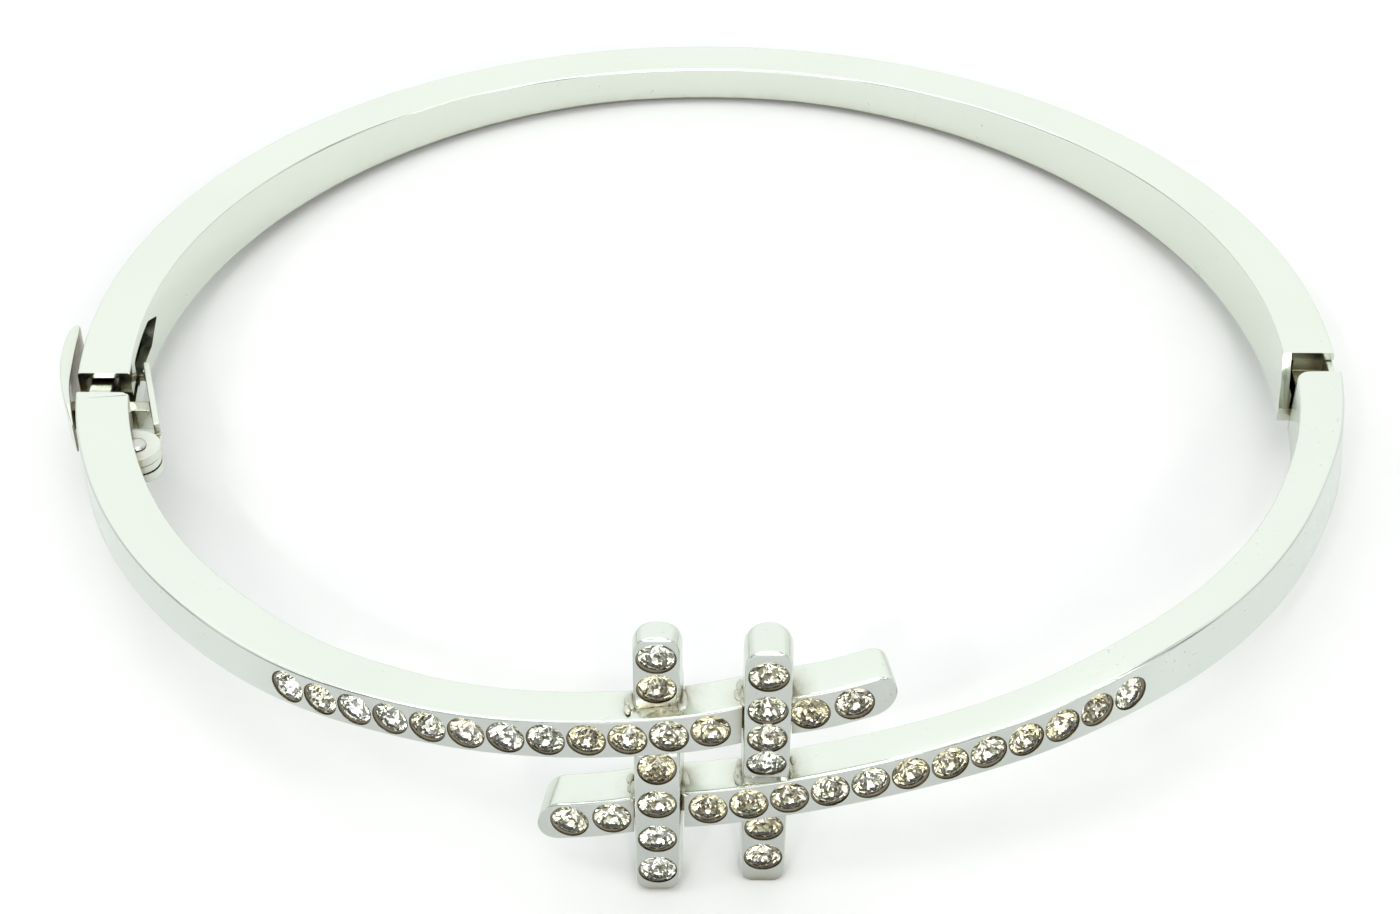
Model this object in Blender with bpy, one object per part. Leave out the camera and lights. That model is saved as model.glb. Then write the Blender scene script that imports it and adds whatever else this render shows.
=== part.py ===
"""Hinged oval bangle bracelet with a woven four-strand lattice front, set with round crystals.

Metres, +Z up. The oval lies in the XY plane, the wrist passes along Z. The lattice faces -Y,
the clasp is at -X and the hinge at +X. Lengths below are in millimetres and become metres in
the helper mm(). The frame's origin is the middle of the whole bangle's box.
"""

import math

import bmesh
import bpy
from mathutils import Matrix, Vector

MM = 0.001

# ---- oval -------------------------------------------------------------------
HALF_WIDTH = 31.5          # outer half width, along X
BACK_DEPTH = 28.2          # outer half depth of the back half, +Y
FRONT_DEPTH = 27.5         # outer half depth of the front half, -Y
BACK_POWER = 2.0           # superellipse power of the back half's outline
FRONT_POWER = 2.1          # the same for the front half
SHIFT = (0.4162, -0.1196, 0.125)   # oval centre, seen from the frame's origin

# ---- band section -----------------------------------------------------------
END_HEIGHT = 3.4           # band height at the hinge and the clasp
BACK_HEIGHT = 2.0          # band height at the middle of the back
FLAT_HALF = 5.0            # half length of the level stretch at the middle of the back
BAND_THICK = 2.6           # radial thickness of the back half
STRAND_HEIGHT = 2.05       # height of the strands in the lattice
STRAND_THICK = 1.95        # radial thickness of the strands in the lattice

# ---- lattice ----------------------------------------------------------------
STRAND_RISE = 2.45         # height of the upper strand's middle line at x = 0
STRAND_SLOPE = 0.19        # its rise per millimetre of x
STRAND_BOW = 0.004
UPPER_TIP_X = 7.9          # free end of the upper strand
LOWER_TIP_X = -7.5         # free end of the lower strand
HINGE_SWELL = 0.30         # the right arm stands proud of the oval just past the hinge
CORNER = {"upper": 0.22, "lower": 0.60}   # rounding of the inner corner at the joint
BAR_X = {"left": -2.2, "right": 2.45}
BAR_WIDTH = 1.95           # width of a bar's outer face
BAR_DRAFT = {"left": (0.04, 0.18), "right": (0.08, 0.06)}   # how much wider the back is, each side
BAR_ENDS = {"left": (-7.62, 7.05), "right": (-7.75, 7.50)}
STRAND_DIP = 0.20          # depth by which a strand dips where it runs under a bar
# outer face of each bar against the oval's outline, by height: proud where it rides over a
# strand, let back where it runs under one
BAR_FACE = {"left": [(-7.62, 0.30), (-2.9, 0.22), (-1.2, 0.15), (0.5, -0.15), (1.7, -0.80), (7.05, -0.80)],
            "right": [(-7.75, -0.30), (-2.7, -0.35), (-1.2, -0.20), (0.3, 0.30), (1.6, 0.42), (7.5, 0.42)]}
BAR_BACK = {"left": [(-7.62, -1.70), (-2.9, -1.73), (1.7, -2.00), (7.05, -2.00)],
            "right": [(-7.75, -1.95), (-2.7, -1.95), (1.6, -1.53), (7.5, -1.53)]}
SOLDER_GAP = 0.03          # seam left between soldered pieces

# ---- crystals ---------------------------------------------------------------
STONE_R = 0.81
STONE_TABLE_R = 0.46
STONE_PROUD = 0.10         # table above the metal face
STONE_GIRDLE_TOP = 0.16    # depth of the girdle's upper edge
STONE_GIRDLE_LOW = 0.24
STONE_CULET = 0.95
SEAT_R = 0.86
SEAT_WALL = 0.36
SEAT_DEPTH = 1.08
STONE_SIDES = 12
STONE_PITCH = 1.785

# ---- joints -----------------------------------------------------------------
CLASP_BACK_Y = -2.8        # end of the back half at the clasp
CLASP_FRONT_Y = -4.2       # end of the left arm
HINGE_BACK_Y = -0.75       # end of the back half's top plate at the hinge
HINGE_FLOOR_Y = -2.0       # end of its floor plate, which reaches further
HINGE_FRONT_Y = -2.2       # end of the right arm
HINGE_AXIS = (30.35, 0.55)
HINGE_PIN_R = 0.40
HINGE_EYE_R = 0.90
HINGE_NECK = (0.78, 1.10)  # neck's inner and outer side, from the axis
HINGE_STOP_DEG = 45.0      # opening at which the neck lands on the bevelled outer wall
LEVER_AXIS = (-27.80, -7.2)
LEVER_PIN_R = 0.33
LEVER_BARREL_R = 1.10
LUG_R = 1.15

# ---- colours ----------------------------------------------------------------
RHODIUM = (0.86, 0.89, 0.85, 1.0)
STEEL = (0.62, 0.63, 0.62, 1.0)
CRYSTAL = (0.93, 0.90, 0.80, 1.0)


def mm(x, y, z):
    """Point of the oval's own frame, in millimetres, as a world point in metres."""
    return Vector(((x + SHIFT[0]) * MM, (y + SHIFT[1]) * MM, (z + SHIFT[2]) * MM))


def clear_scene():
    for obj in list(bpy.data.objects):
        bpy.data.objects.remove(obj, do_unlink=True)


def material(name, colour, roughness, metallic, transmission=0.0):
    mat = bpy.data.materials.new(name)
    mat.use_nodes = True
    shader = mat.node_tree.nodes["Principled BSDF"]
    shader.inputs["Base Color"].default_value = colour
    shader.inputs["Roughness"].default_value = roughness
    shader.inputs["Metallic"].default_value = metallic
    shader.inputs["Transmission Weight"].default_value = transmission
    mat.diffuse_color = colour
    return mat


def finish_mesh(name, bm, colour=RHODIUM, roughness=0.22, metallic=1.0, transmission=0.0,
                origin=(0.0, 0.0, 0.0), parent=None, smooth_deg=35.0):
    """Object from a bmesh whose points are world points; its origin is moved to origin."""
    bmesh.ops.remove_doubles(bm, verts=bm.verts, dist=1e-7)
    bmesh.ops.recalc_face_normals(bm, faces=bm.faces)
    origin = Vector(origin)
    bmesh.ops.translate(bm, verts=bm.verts, vec=-origin)
    mesh = bpy.data.meshes.new(name)
    bm.to_mesh(mesh)
    bm.free()
    obj = bpy.data.objects.new(name, mesh)
    bpy.context.scene.collection.objects.link(obj)
    obj.location = origin
    if parent is not None:
        obj.parent = parent
        obj.location = origin - parent.location
    mesh.shade_smooth()
    mesh.set_sharp_from_angle(angle=math.radians(smooth_deg))
    mesh.materials.append(material(name + "_material", colour, roughness, metallic, transmission))
    return obj


def cutter(name, bm):
    bmesh.ops.remove_doubles(bm, verts=bm.verts, dist=1e-7)
    bmesh.ops.recalc_face_normals(bm, faces=bm.faces)
    mesh = bpy.data.meshes.new(name)
    bm.to_mesh(mesh)
    bm.free()
    obj = bpy.data.objects.new(name, mesh)
    bpy.context.scene.collection.objects.link(obj)
    obj.hide_render = True
    obj.display_type = "WIRE"
    return obj


def boolean(obj, other, operation="DIFFERENCE"):
    mod = obj.modifiers.new(other.name, "BOOLEAN")
    mod.operation = operation
    mod.solver = "EXACT"
    mod.object = other


def loft(bm, rings):
    """Closed skin through rings of points, each ring going the same way round."""
    made = [[bm.verts.new(p) for p in ring] for ring in rings]
    count = len(made[0])
    for a, b in zip(made, made[1:]):
        for i in range(count):
            j = (i + 1) % count
            bm.faces.new((a[i], a[j], b[j], b[i]))
    bm.faces.new(list(reversed(made[0])))
    bm.faces.new(made[-1])


def prism(bm, outline, low, high):
    """Upright prism over a plan outline [(x, y)] between two heights."""
    loft(bm, [[mm(x, y, low) for x, y in outline], [mm(x, y, high) for x, y in outline]])


def box(bm, x0, x1, y0, y1, z0, z1):
    prism(bm, [(x0, y0), (x1, y0), (x1, y1), (x0, y1)], z0, z1)


def circle(cx, cy, r, sides, start=0.0):
    return [(cx + r * math.cos(start + 2 * math.pi * i / sides),
             cy + r * math.sin(start + 2 * math.pi * i / sides)) for i in range(sides)]


def keyed(keys, s):
    """Smooth interpolation between (s, value) keys."""
    if s <= keys[0][0]:
        return keys[0][1]
    for (s0, v0), (s1, v1) in zip(keys, keys[1:]):
        if s <= s1:
            w = (s - s0) / (s1 - s0)
            w = w * w * (3 - 2 * w)
            return v0 + (v1 - v0) * w
    return keys[-1][1]


# ---- outline of the oval ------------------------------------------------------
def outline_point(t, depth, power):
    c, s = math.cos(t), math.sin(t)
    x = HALF_WIDTH * math.copysign(abs(c) ** (2 / power), c)
    y = depth * math.copysign(abs(s) ** (2 / power), s)
    return x, y


def front_y(x):
    """Outer outline of the front half at x."""
    return -FRONT_DEPTH * (1 - (abs(x) / HALF_WIDTH) ** FRONT_POWER) ** (1 / FRONT_POWER)


def front_slope(x):
    e = 1e-3
    return (front_y(x + e) - front_y(x - e)) / (2 * e)


def front_normal(x):
    """Outward normal of the front outline at x."""
    g = front_slope(x)
    n = Vector((g, -1.0, 0.0))
    return n.normalized()


def side_x(y, depth, power):
    """Outer outline's |x| at y."""
    return HALF_WIDTH * (1 - (abs(y) / depth) ** power) ** (1 / power)


def path_by_arc(points, count):
    """Points spaced evenly by arc length along a dense polyline."""
    lengths = [0.0]
    for a, b in zip(points, points[1:]):
        lengths.append(lengths[-1] + math.dist(a, b))
    out = []
    j = 0
    for i in range(count):
        want = lengths[-1] * i / (count - 1)
        while j < len(lengths) - 2 and lengths[j + 1] < want:
            j += 1
        w = (want - lengths[j]) / max(1e-9, lengths[j + 1] - lengths[j])
        out.append(tuple(a + (b - a) * w for a, b in zip(points[j], points[j + 1])))
    return out


# ---- back half ----------------------------------------------------------------
def back_outline(count):
    """From the clasp end round the back to the hinge end, outer outline."""
    dense = []
    start = -math.asin((-HINGE_FLOOR_Y) / FRONT_DEPTH)
    y = HINGE_FLOOR_Y
    while y < 0:
        dense.append((side_x(y, FRONT_DEPTH, FRONT_POWER), y))
        y += 0.05
    for i in range(1201):
        dense.append(outline_point(math.pi * i / 1200, BACK_DEPTH, BACK_POWER))
    y = -0.05
    while y > CLASP_BACK_Y:
        dense.append((-side_x(y, FRONT_DEPTH, FRONT_POWER), y))
        y -= 0.05
    dense.append((-side_x(CLASP_BACK_Y, FRONT_DEPTH, FRONT_POWER), CLASP_BACK_Y))
    return path_by_arc(dense, count)


def back_half():
    count = 57
    path = back_outline(count)
    bm = bmesh.new()
    rings = []
    for i, (x, y) in enumerate(path):
        ax, ay = path[max(0, i - 1)]
        bx, by = path[min(count - 1, i + 1)]
        tangent = Vector((bx - ax, by - ay, 0)).normalized()
        normal = Vector((tangent.y, -tangent.x, 0))
        if i in (0, count - 1):
            normal = Vector((math.copysign(1, x), 0, 0))
        # level at the middle of the back, deeper towards the joints, upper face in one plane
        k = max(0.0, min(1.0, (abs(x) - FLAT_HALF) / (HALF_WIDTH - FLAT_HALF))) ** 1.5
        height = BACK_HEIGHT + (END_HEIGHT - BACK_HEIGHT) * k
        lift = 0.5 * (END_HEIGHT - height)
        top, low = lift + height / 2, lift - height / 2
        ix, iy = x - normal.x * BAND_THICK, y - normal.y * BAND_THICK
        rings.append([mm(x, y, top), mm(ix, iy, top), mm(ix, iy, low), mm(x, y, low)])
    loft(bm, rings)
    obj = finish_mesh("back_band", bm)

    # box end that takes the clasp tongue, with its window in the inner wall
    bm = bmesh.new()
    box(bm, -31.0, -29.35, CLASP_BACK_Y - 0.6, 2.6, -1.30, 1.40)
    boolean(obj, cutter("cut_clasp_box", bm))
    bm = bmesh.new()
    loft(bm, [[mm(x, y, z) for y, z in ((-1.25, -0.5), (2.2, -0.5), (3.5, 0.45), (2.2, 1.1), (-1.25, 1.1))]
              for x in (-29.42, -27.6)])
    boolean(obj, cutter("cut_clasp_window", bm))
    bm = bmesh.new()
    box(bm, -29.12, -28.0, CLASP_BACK_Y - 0.6, -1.2, -0.28, 0.28)
    boolean(obj, cutter("cut_nose_groove", bm))

    # forked box end that takes the hinge knuckle
    bm = bmesh.new()
    box(bm, 29.35, 31.30, HINGE_FLOOR_Y - 0.8, 1.75, -0.90, 1.25)
    boolean(obj, cutter("cut_hinge_slot", bm))
    # way out for the neck, ending in a bevel that lies along the neck's side when fully open
    hx, hy = HINGE_AXIS
    stop = math.radians(HINGE_STOP_DEG)

    def bevel(rx):
        return (hx + rx, hy + (HINGE_NECK[1] + SOLDER_GAP - rx * math.cos(stop)) / math.sin(stop))

    bm = bmesh.new()
    prism(bm, [(hx + 0.80, -3.0), (hx + 2.2, -3.0), bevel(2.2), bevel(0.80)], -0.895, 1.245)
    boolean(obj, cutter("cut_hinge_way_out", bm))
    bm = bmesh.new()
    box(bm, 29.30, 32.6, HINGE_FLOOR_Y - 0.8, HINGE_BACK_Y, 0.0, 2.4)
    boolean(obj, cutter("cut_hinge_top", bm))
    bm = bmesh.new()
    loft(bm, [[mm(x, y, z) for y, z in ((HINGE_BACK_Y, 2.4), (HINGE_BACK_Y, 1.72), (-1.25, 0.9),
                                        (HINGE_FLOOR_Y + 0.02, -0.9), (-3.0, -0.9), (-3.0, 2.4))]
              for x in (27.8, 29.34)])
    boolean(obj, cutter("cut_hinge_wall_end", bm))
    bm = bmesh.new()
    prism(bm, [(29.7, HINGE_FLOOR_Y - 0.02), (31.0, HINGE_BACK_Y), (32.6, HINGE_BACK_Y), (32.6, -3.0), (29.7, -3.0)],
          -2.3, -0.86)
    boolean(obj, cutter("cut_hinge_floor_end", bm))
    # blind hole from below, so that the top face stays plain
    bm = bmesh.new()
    prism(bm, circle(*HINGE_AXIS, HINGE_PIN_R + 0.03, 20), -2.4, 1.52)
    boolean(obj, cutter("cut_hinge_hole", bm))
    return obj


# ---- front half ---------------------------------------------------------------
def rise(x):
    """Height of the upper strand's middle line at x; the lower strand mirrors it through Y."""
    v = STRAND_RISE + STRAND_SLOPE * x + STRAND_BOW * x * x
    w = min(1.0, max(0.0, (x + 22.0) / 8.0))
    return v * w * w * (3 - 2 * w)


def bump(v):
    return math.exp(-v * v)


def strand_offset(side, x):
    """Outward offset of a strand's face at x: a dip under one bar, and a swell past the hinge."""
    under = BAR_X["right"] if side == "upper" else BAR_X["left"]
    swell = HINGE_SWELL * bump((x - 31.35) / 1.3) if side == "lower" else 0.0
    return swell - STRAND_DIP * bump((x - under) / 1.7)


def bar_offset(side, z):
    """Outward offset of a cross bar's face at height z."""
    return keyed(BAR_FACE[side], z)


def bar_back(side, z):
    """The same for its back."""
    return keyed(BAR_BACK[side], z)


ARM_KEYS = {
    "upper": {"height": [(0.0, END_HEIGHT), (0.42, 2.30), (0.75, STRAND_HEIGHT)],
              "thick": [(0.0, 2.6), (0.45, 2.45), (0.85, STRAND_THICK)],
              "draft": [(0.0, 0.0), (0.6, 0.12), (1.0, 0.20)]},
    "lower": {"height": [(0.0, END_HEIGHT), (0.45, 2.65), (0.85, STRAND_HEIGHT)],
              "thick": [(0.0, 2.45), (0.30, 2.05), (0.70, STRAND_THICK)],
              "draft": [(0.0, 0.20), (0.12, 0.42), (0.35, 0.42), (0.7, 0.36), (1.0, 0.20)]},
}


def strand_frame(side, x):
    """Local shape of a front casting at x: outer face's middle point, normal, tilt, section."""
    mirror = 1 if side == "upper" else -1
    s = min(1.0, (x * mirror + HALF_WIDTH) / HALF_WIDTH)
    # 0 at the joint, 1 at the middle of the front, by angle round the oval
    angle = 1.0 - math.acos(max(-1.0, min(1.0, -min(0.0, x * mirror) / HALF_WIDTH * 1.0))) / (math.pi / 2) if x * mirror < 0 else 0.0
    s = 1.0 - angle
    keys = ARM_KEYS[side]
    height, thick, draft = (keyed(keys[k], s) for k in ("height", "thick", "draft"))
    z = mirror * rise(x * mirror)
    return height, thick, draft, z, front_normal(x)


def face_point(side, x):
    """Middle of a strand's outer face at x, in the oval's millimetres."""
    height, thick, draft, z, n = strand_frame(side, x)
    d = strand_offset(side, x)
    return Vector((x + n.x * d, front_y(x) + n.y * d, z))


def strand(name, side, start_y, tip_x, cutters):
    mirror = 1 if side == "upper" else -1
    dense = []
    x_start = -side_x(start_y, FRONT_DEPTH, FRONT_POWER) * mirror
    # from the joint along the outline: by y near the joint, then by x
    steps = 260
    for i in range(steps + 1):
        y = start_y + (-20.0 - start_y) * i / steps
        dense.append((-side_x(y, FRONT_DEPTH, FRONT_POWER) * mirror, y))
    x0 = dense[-1][0]
    for i in range(1, 601):
        x = x0 + (tip_x - x0) * i / 600
        dense.append((x, front_y(x)))
    even = path_by_arc(dense, 53)
    # extra stations round the inner corner of the joint end
    corner = CORNER[side]
    arms = []
    for a in (0, 20, 42, 66, 90):
        y = start_y - corner * (1 - math.cos(math.radians(a)))
        arms.append((-side_x(y, FRONT_DEPTH, FRONT_POWER) * mirror, y, 1.0, corner * (1 - math.sin(math.radians(a)))))
    # and more of them round off the free end
    r = STRAND_HEIGHT / 2 * 0.98
    stations = arms + [(x, y, 1.0, 0.0) for x, y in even if (tip_x - x) * mirror > r + 0.1 and y < start_y - corner - 0.1
                       or (tip_x - x) * mirror > r + 0.1 and abs(x) < 25]
    for a in (0, 22, 42, 60, 75, 86):
        x = tip_x - mirror * (r - r * math.sin(math.radians(a)))
        stations.append((x, front_y(x), max(0.12, math.cos(math.radians(a))), 0.0))
    bm = bmesh.new()
    rings = []
    for i, (x, y, shrink, pare) in enumerate(stations):
        height, thick, draft, z, n = strand_frame(side, x)
        if i < len(arms):
            n = Vector((-1.0 * mirror, 0, 0))
        elif abs(x) > 20:
            g = 2e-3
            ya, yb = y - g, y + g
            xa, xb = side_x(ya, FRONT_DEPTH, FRONT_POWER), side_x(yb, FRONT_DEPTH, FRONT_POWER)
            t = Vector(((xb - xa) * -mirror, yb - ya, 0)).normalized()
            n = Vector((t.y, -t.x, 0))
            if n.x * -mirror < 0:
                n = -n
        d = strand_offset(side, x)
        half = height / 2 * shrink
        ot = (x + n.x * (d - draft / 2), y + n.y * (d - draft / 2))
        ob = (x + n.x * (d + draft / 2), y + n.y * (d + draft / 2))
        inn = (x + n.x * (d - thick + pare), y + n.y * (d - thick + pare))
        rings.append([mm(*ot, z + half), mm(*inn, z + half), mm(*inn, z - half), mm(*ob, z - half)])
    loft(bm, rings)
    obj = finish_mesh(name, bm)
    for c in cutters:
        boolean(obj, c)
    return obj


def bar(name, side, cutters):
    x0 = BAR_X[side]
    low, high = BAR_ENDS[side]
    end = 0.85
    bm = bmesh.new()
    rings = []
    stations = []
    for a in (86, 70, 50, 25, 0):
        stations.append((end - end * math.sin(math.radians(a)), max(0.30, math.cos(math.radians(a)) ** 0.6)))
    zs = [(low + d, k) for d, k in stations]
    inner = 30
    for i in range(1, inner):
        zs.append((low + end + (high - low - 2 * end) * i / inner, 1.0))
    zs += [(high - d, k) for d, k in reversed(stations)]
    for z, k in zs:
        w = BAR_WIDTH / 2 * k
        wl, wr = w + BAR_DRAFT[side][0] * k, w + BAR_DRAFT[side][1] * k
        front, back = front_y(x0) - bar_offset(side, z), front_y(x0) - bar_back(side, z)
        rings.append([mm(x0 - w, front, z), mm(x0 + w, front, z), mm(x0 + wr, back, z), mm(x0 - wl, back, z)])
    loft(bm, rings)
    obj = finish_mesh(name, bm)
    for c in cutters:
        boolean(obj, c)
    return obj


def crossing_cutters():
    """For each crossing, the notch in the strand and the notch in the bar."""
    out = {"upper": [], "lower": [], "left": [], "right": []}
    for strand_side in ("upper", "lower"):
        mirror = 1 if strand_side == "upper" else -1
        for bar_side in ("left", "right"):
            x0 = BAR_X[bar_side]
            z0 = mirror * rise(x0 * mirror)
            slope = (rise((x0 + 0.5) * mirror) - rise((x0 - 0.5) * mirror)) * mirror
            strand_front = front_y(x0) - strand_offset(strand_side, x0)
            bar_front, bar_rear = front_y(x0) - bar_offset(bar_side, z0), front_y(x0) - bar_back(bar_side, z0)
            strand_over = (strand_side, bar_side) in (("upper", "left"), ("lower", "right"))
            # the plane midway between the outer piece's back and the inner piece's face
            if strand_over:
                plane = (strand_front + STRAND_THICK + bar_front) / 2
            else:
                plane = (bar_rear + strand_front) / 2
            g = SOLDER_GAP / 2
            half_h = STRAND_HEIGHT / 2 + SOLDER_GAP + 0.02
            w_left, w_right = (BAR_WIDTH / 2 + d + SOLDER_GAP for d in BAR_DRAFT[bar_side])
            y_in, y_out = plane + 4.0, plane - 4.0
            strand_y = (plane - g, y_in) if strand_over else (y_out, plane + g)
            bar_y = (y_out, plane + g) if strand_over else (plane - g, y_in)
            bm = bmesh.new()
            box(bm, x0 - w_left, x0 + w_right, *strand_y, z0 - 1.9, z0 + 1.9)
            out[strand_side].append(cutter("cut_%s_at_%s_bar" % (strand_side, bar_side), bm))
            bm = bmesh.new()
            w = 1.8
            rings = []
            for y in bar_y:
                rings.append([mm(x0 - w, y, z0 - slope * w - half_h), mm(x0 + w, y, z0 + slope * w - half_h),
                              mm(x0 + w, y, z0 + slope * w + half_h), mm(x0 - w, y, z0 - slope * w + half_h)])
            loft(bm, rings)
            out[bar_side].append(cutter("cut_%s_bar_at_%s" % (bar_side, strand_side), bm))
    return out


# ---- crystals -----------------------------------------------------------------
def stone_axes(point, normal, tilt):
    """Frame of a stone: centre of the metal face, outward axis leaning up by tilt."""
    up = Vector((0, 0, 1))
    axis = (normal * math.cos(tilt) + up * math.sin(tilt)).normalized()
    side = up.cross(axis).normalized()
    return point, axis, side, axis.cross(side)


def turned(bm, frame, profile, sides):
    """Closed turned body: profile [(height along the outward axis, radius)], 0 radius at an end is a point."""
    centre, axis, u, v = frame
    rings = []
    for h, r in profile:
        if r == 0:
            p = centre + axis * h
            rings.append([bm.verts.new(mm(*p))])
        else:
            ring = []
            for i in range(sides):
                a = 2 * math.pi * i / sides
                p = centre + axis * h + u * (r * math.cos(a)) + v * (r * math.sin(a))
                ring.append(bm.verts.new(mm(*p)))
            rings.append(ring)
    for a, b in zip(rings, rings[1:]):
        for i in range(sides):
            j = (i + 1) % sides
            if len(a) == 1:
                bm.faces.new((a[0], b[j], b[i]))
            elif len(b) == 1:
                bm.faces.new((a[i], a[j], b[0]))
            else:
                bm.faces.new((a[i], a[j], b[j], b[i]))
    if len(rings[0]) > 1:
        bm.faces.new(list(reversed(rings[0])))
    if len(rings[-1]) > 1:
        bm.faces.new(rings[-1])


STONE_PROFILE = [(STONE_PROUD, STONE_TABLE_R), (-STONE_GIRDLE_TOP, STONE_R), (-STONE_GIRDLE_LOW, STONE_R), (-STONE_CULET, 0.0)]
SEAT_PROFILE = [(0.8, SEAT_R), (-SEAT_WALL, SEAT_R), (-SEAT_DEPTH, 0.16)]


def arc_step(side, x, distance):
    """x of the face point a chord away along the strand, distance signed with x."""
    a = face_point(side, x)
    lo, hi = x, x + distance * 1.3
    for _ in range(40):
        mid = (lo + hi) / 2
        if (face_point(side, mid) - a).length < abs(distance):
            lo = mid
        else:
            hi = mid
    return (lo + hi) / 2


def strand_stone_xs(side):
    mirror = 1 if side == "upper" else -1
    xs = [0.08] if side == "upper" else [0.0]
    for _ in range(11):
        xs.append(arc_step(side, xs[-1], -mirror * STONE_PITCH))
    tip = [4.25, 6.10] if side == "upper" else [-4.20, -6.06]
    return xs[::-1] + tip


BAR_STONES = {"left": [5.91, 4.13, 0.02, -1.98, -4.18, -6.20], "right": [6.12, 4.12, 2.45, 0.80, -4.07, -6.02]}


def stone_frames():
    frames = {}
    for side in ("upper", "lower"):
        out = []
        for x in strand_stone_xs(side):
            height, thick, draft, z, n = strand_frame(side, x)
            e = 0.05
            a, b = face_point(side, x - e), face_point(side, x + e)
            t = (b - a).normalized()
            n = Vector((t.y, -t.x, 0)).normalized()
            if n.y > 0:
                n = -n
            out.append(stone_axes(face_point(side, x), n, math.atan2(draft, height)))
        frames[side] = out
    for side in ("left", "right"):
        out = []
        for z in BAR_STONES[side]:
            x0 = BAR_X[side]
            e = 0.05
            dd = (bar_offset(side, z + e) - bar_offset(side, z - e)) / (2 * e)
            tilt = math.atan2(-dd, 1.0)
            out.append(stone_axes(Vector((x0, front_y(x0) - bar_offset(side, z), z)), Vector((0, -1, 0)), -tilt * -1.0))
        frames[side] = out
    return frames


def seat_cutters(name, frames):
    """Drilled seats, odd and even ones apart so that no two in one cutter touch."""
    out = []
    for k in (0, 1):
        bm = bmesh.new()
        for f in frames[k::2]:
            turned(bm, f, SEAT_PROFILE, STONE_SIDES)
        out.append(cutter("%s_%d" % (name, k + 1), bm))
    return out


def stone(name, frame, parent):
    bm = bmesh.new()
    turned(bm, frame, STONE_PROFILE, STONE_SIDES)
    return finish_mesh(name, bm, CRYSTAL, 0.03, 0.0, 0.6, parent=parent, smooth_deg=5.0)


# ---- hinge --------------------------------------------------------------------
def hinge_knuckle():
    cx, cy = HINGE_AXIS
    y0 = HINGE_FRONT_Y + SOLDER_GAP
    left, right = cx - HINGE_NECK[0], cx + HINGE_NECK[1]
    arc = [(cx + HINGE_EYE_R * math.cos(math.radians(a)), cy + HINGE_EYE_R * math.sin(math.radians(a)))
           for a in range(30, 211, 15)]
    outline = [(left, y0), (right, y0), (right, cy)] + arc
    bm = bmesh.new()
    prism(bm, outline, -0.85, 1.20)
    obj = finish_mesh("hinge_knuckle", bm)
    bm = bmesh.new()
    prism(bm, circle(cx, cy, HINGE_PIN_R + 0.05, 20), -1.2, 1.6)
    boolean(obj, cutter("cut_knuckle_eye", bm))
    # the neck is let down on its inner side, a full-height rib stays along its outer side
    bm = bmesh.new()
    box(bm, left - 0.5, cx + 0.76, y0 - 0.5, cy - HINGE_EYE_R - 0.06, 0.30, 2.0)
    boolean(obj, cutter("cut_knuckle_neck", bm))
    return obj


def hinge_pin():
    bm = bmesh.new()
    prism(bm, circle(*HINGE_AXIS, HINGE_PIN_R, 20), -1.67, 1.48)
    return finish_mesh("hinge_pin", bm, STEEL, 0.25)


# ---- clasp --------------------------------------------------------------------
def clasp_tongue():
    bm = bmesh.new()
    y0 = CLASP_FRONT_Y + SOLDER_GAP
    outline = [(-30.75, y0), (-29.65, y0), (-29.65, -1.35), (-29.95, -0.95), (-30.45, -0.95), (-30.75, -1.35)]
    prism(bm, outline, 0.42, 1.15)
    return finish_mesh("clasp_tongue", bm)


def lever_bracket():
    cx, cy = LEVER_AXIS
    bm = bmesh.new()
    arc = [(cx + LUG_R * math.cos(math.radians(a)), cy + LUG_R * math.sin(math.radians(a))) for a in range(-90, 91, 12)]
    outline = [(-29.22, cy - LUG_R)] + arc + [(-29.22, cy + LUG_R)]
    prism(bm, outline, -0.75, 0.75)
    obj = finish_mesh("lever_bracket", bm)
    bm = bmesh.new()
    box(bm, -29.00, -25.5, cy - 2.0, cy + 2.0, -0.27, 0.27)
    boolean(obj, cutter("cut_bracket_slot", bm))
    bm = bmesh.new()
    prism(bm, circle(cx, cy, LEVER_PIN_R + 0.03, 16), -1.2, 1.2)
    boolean(obj, cutter("cut_bracket_hole", bm))
    return obj


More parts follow.
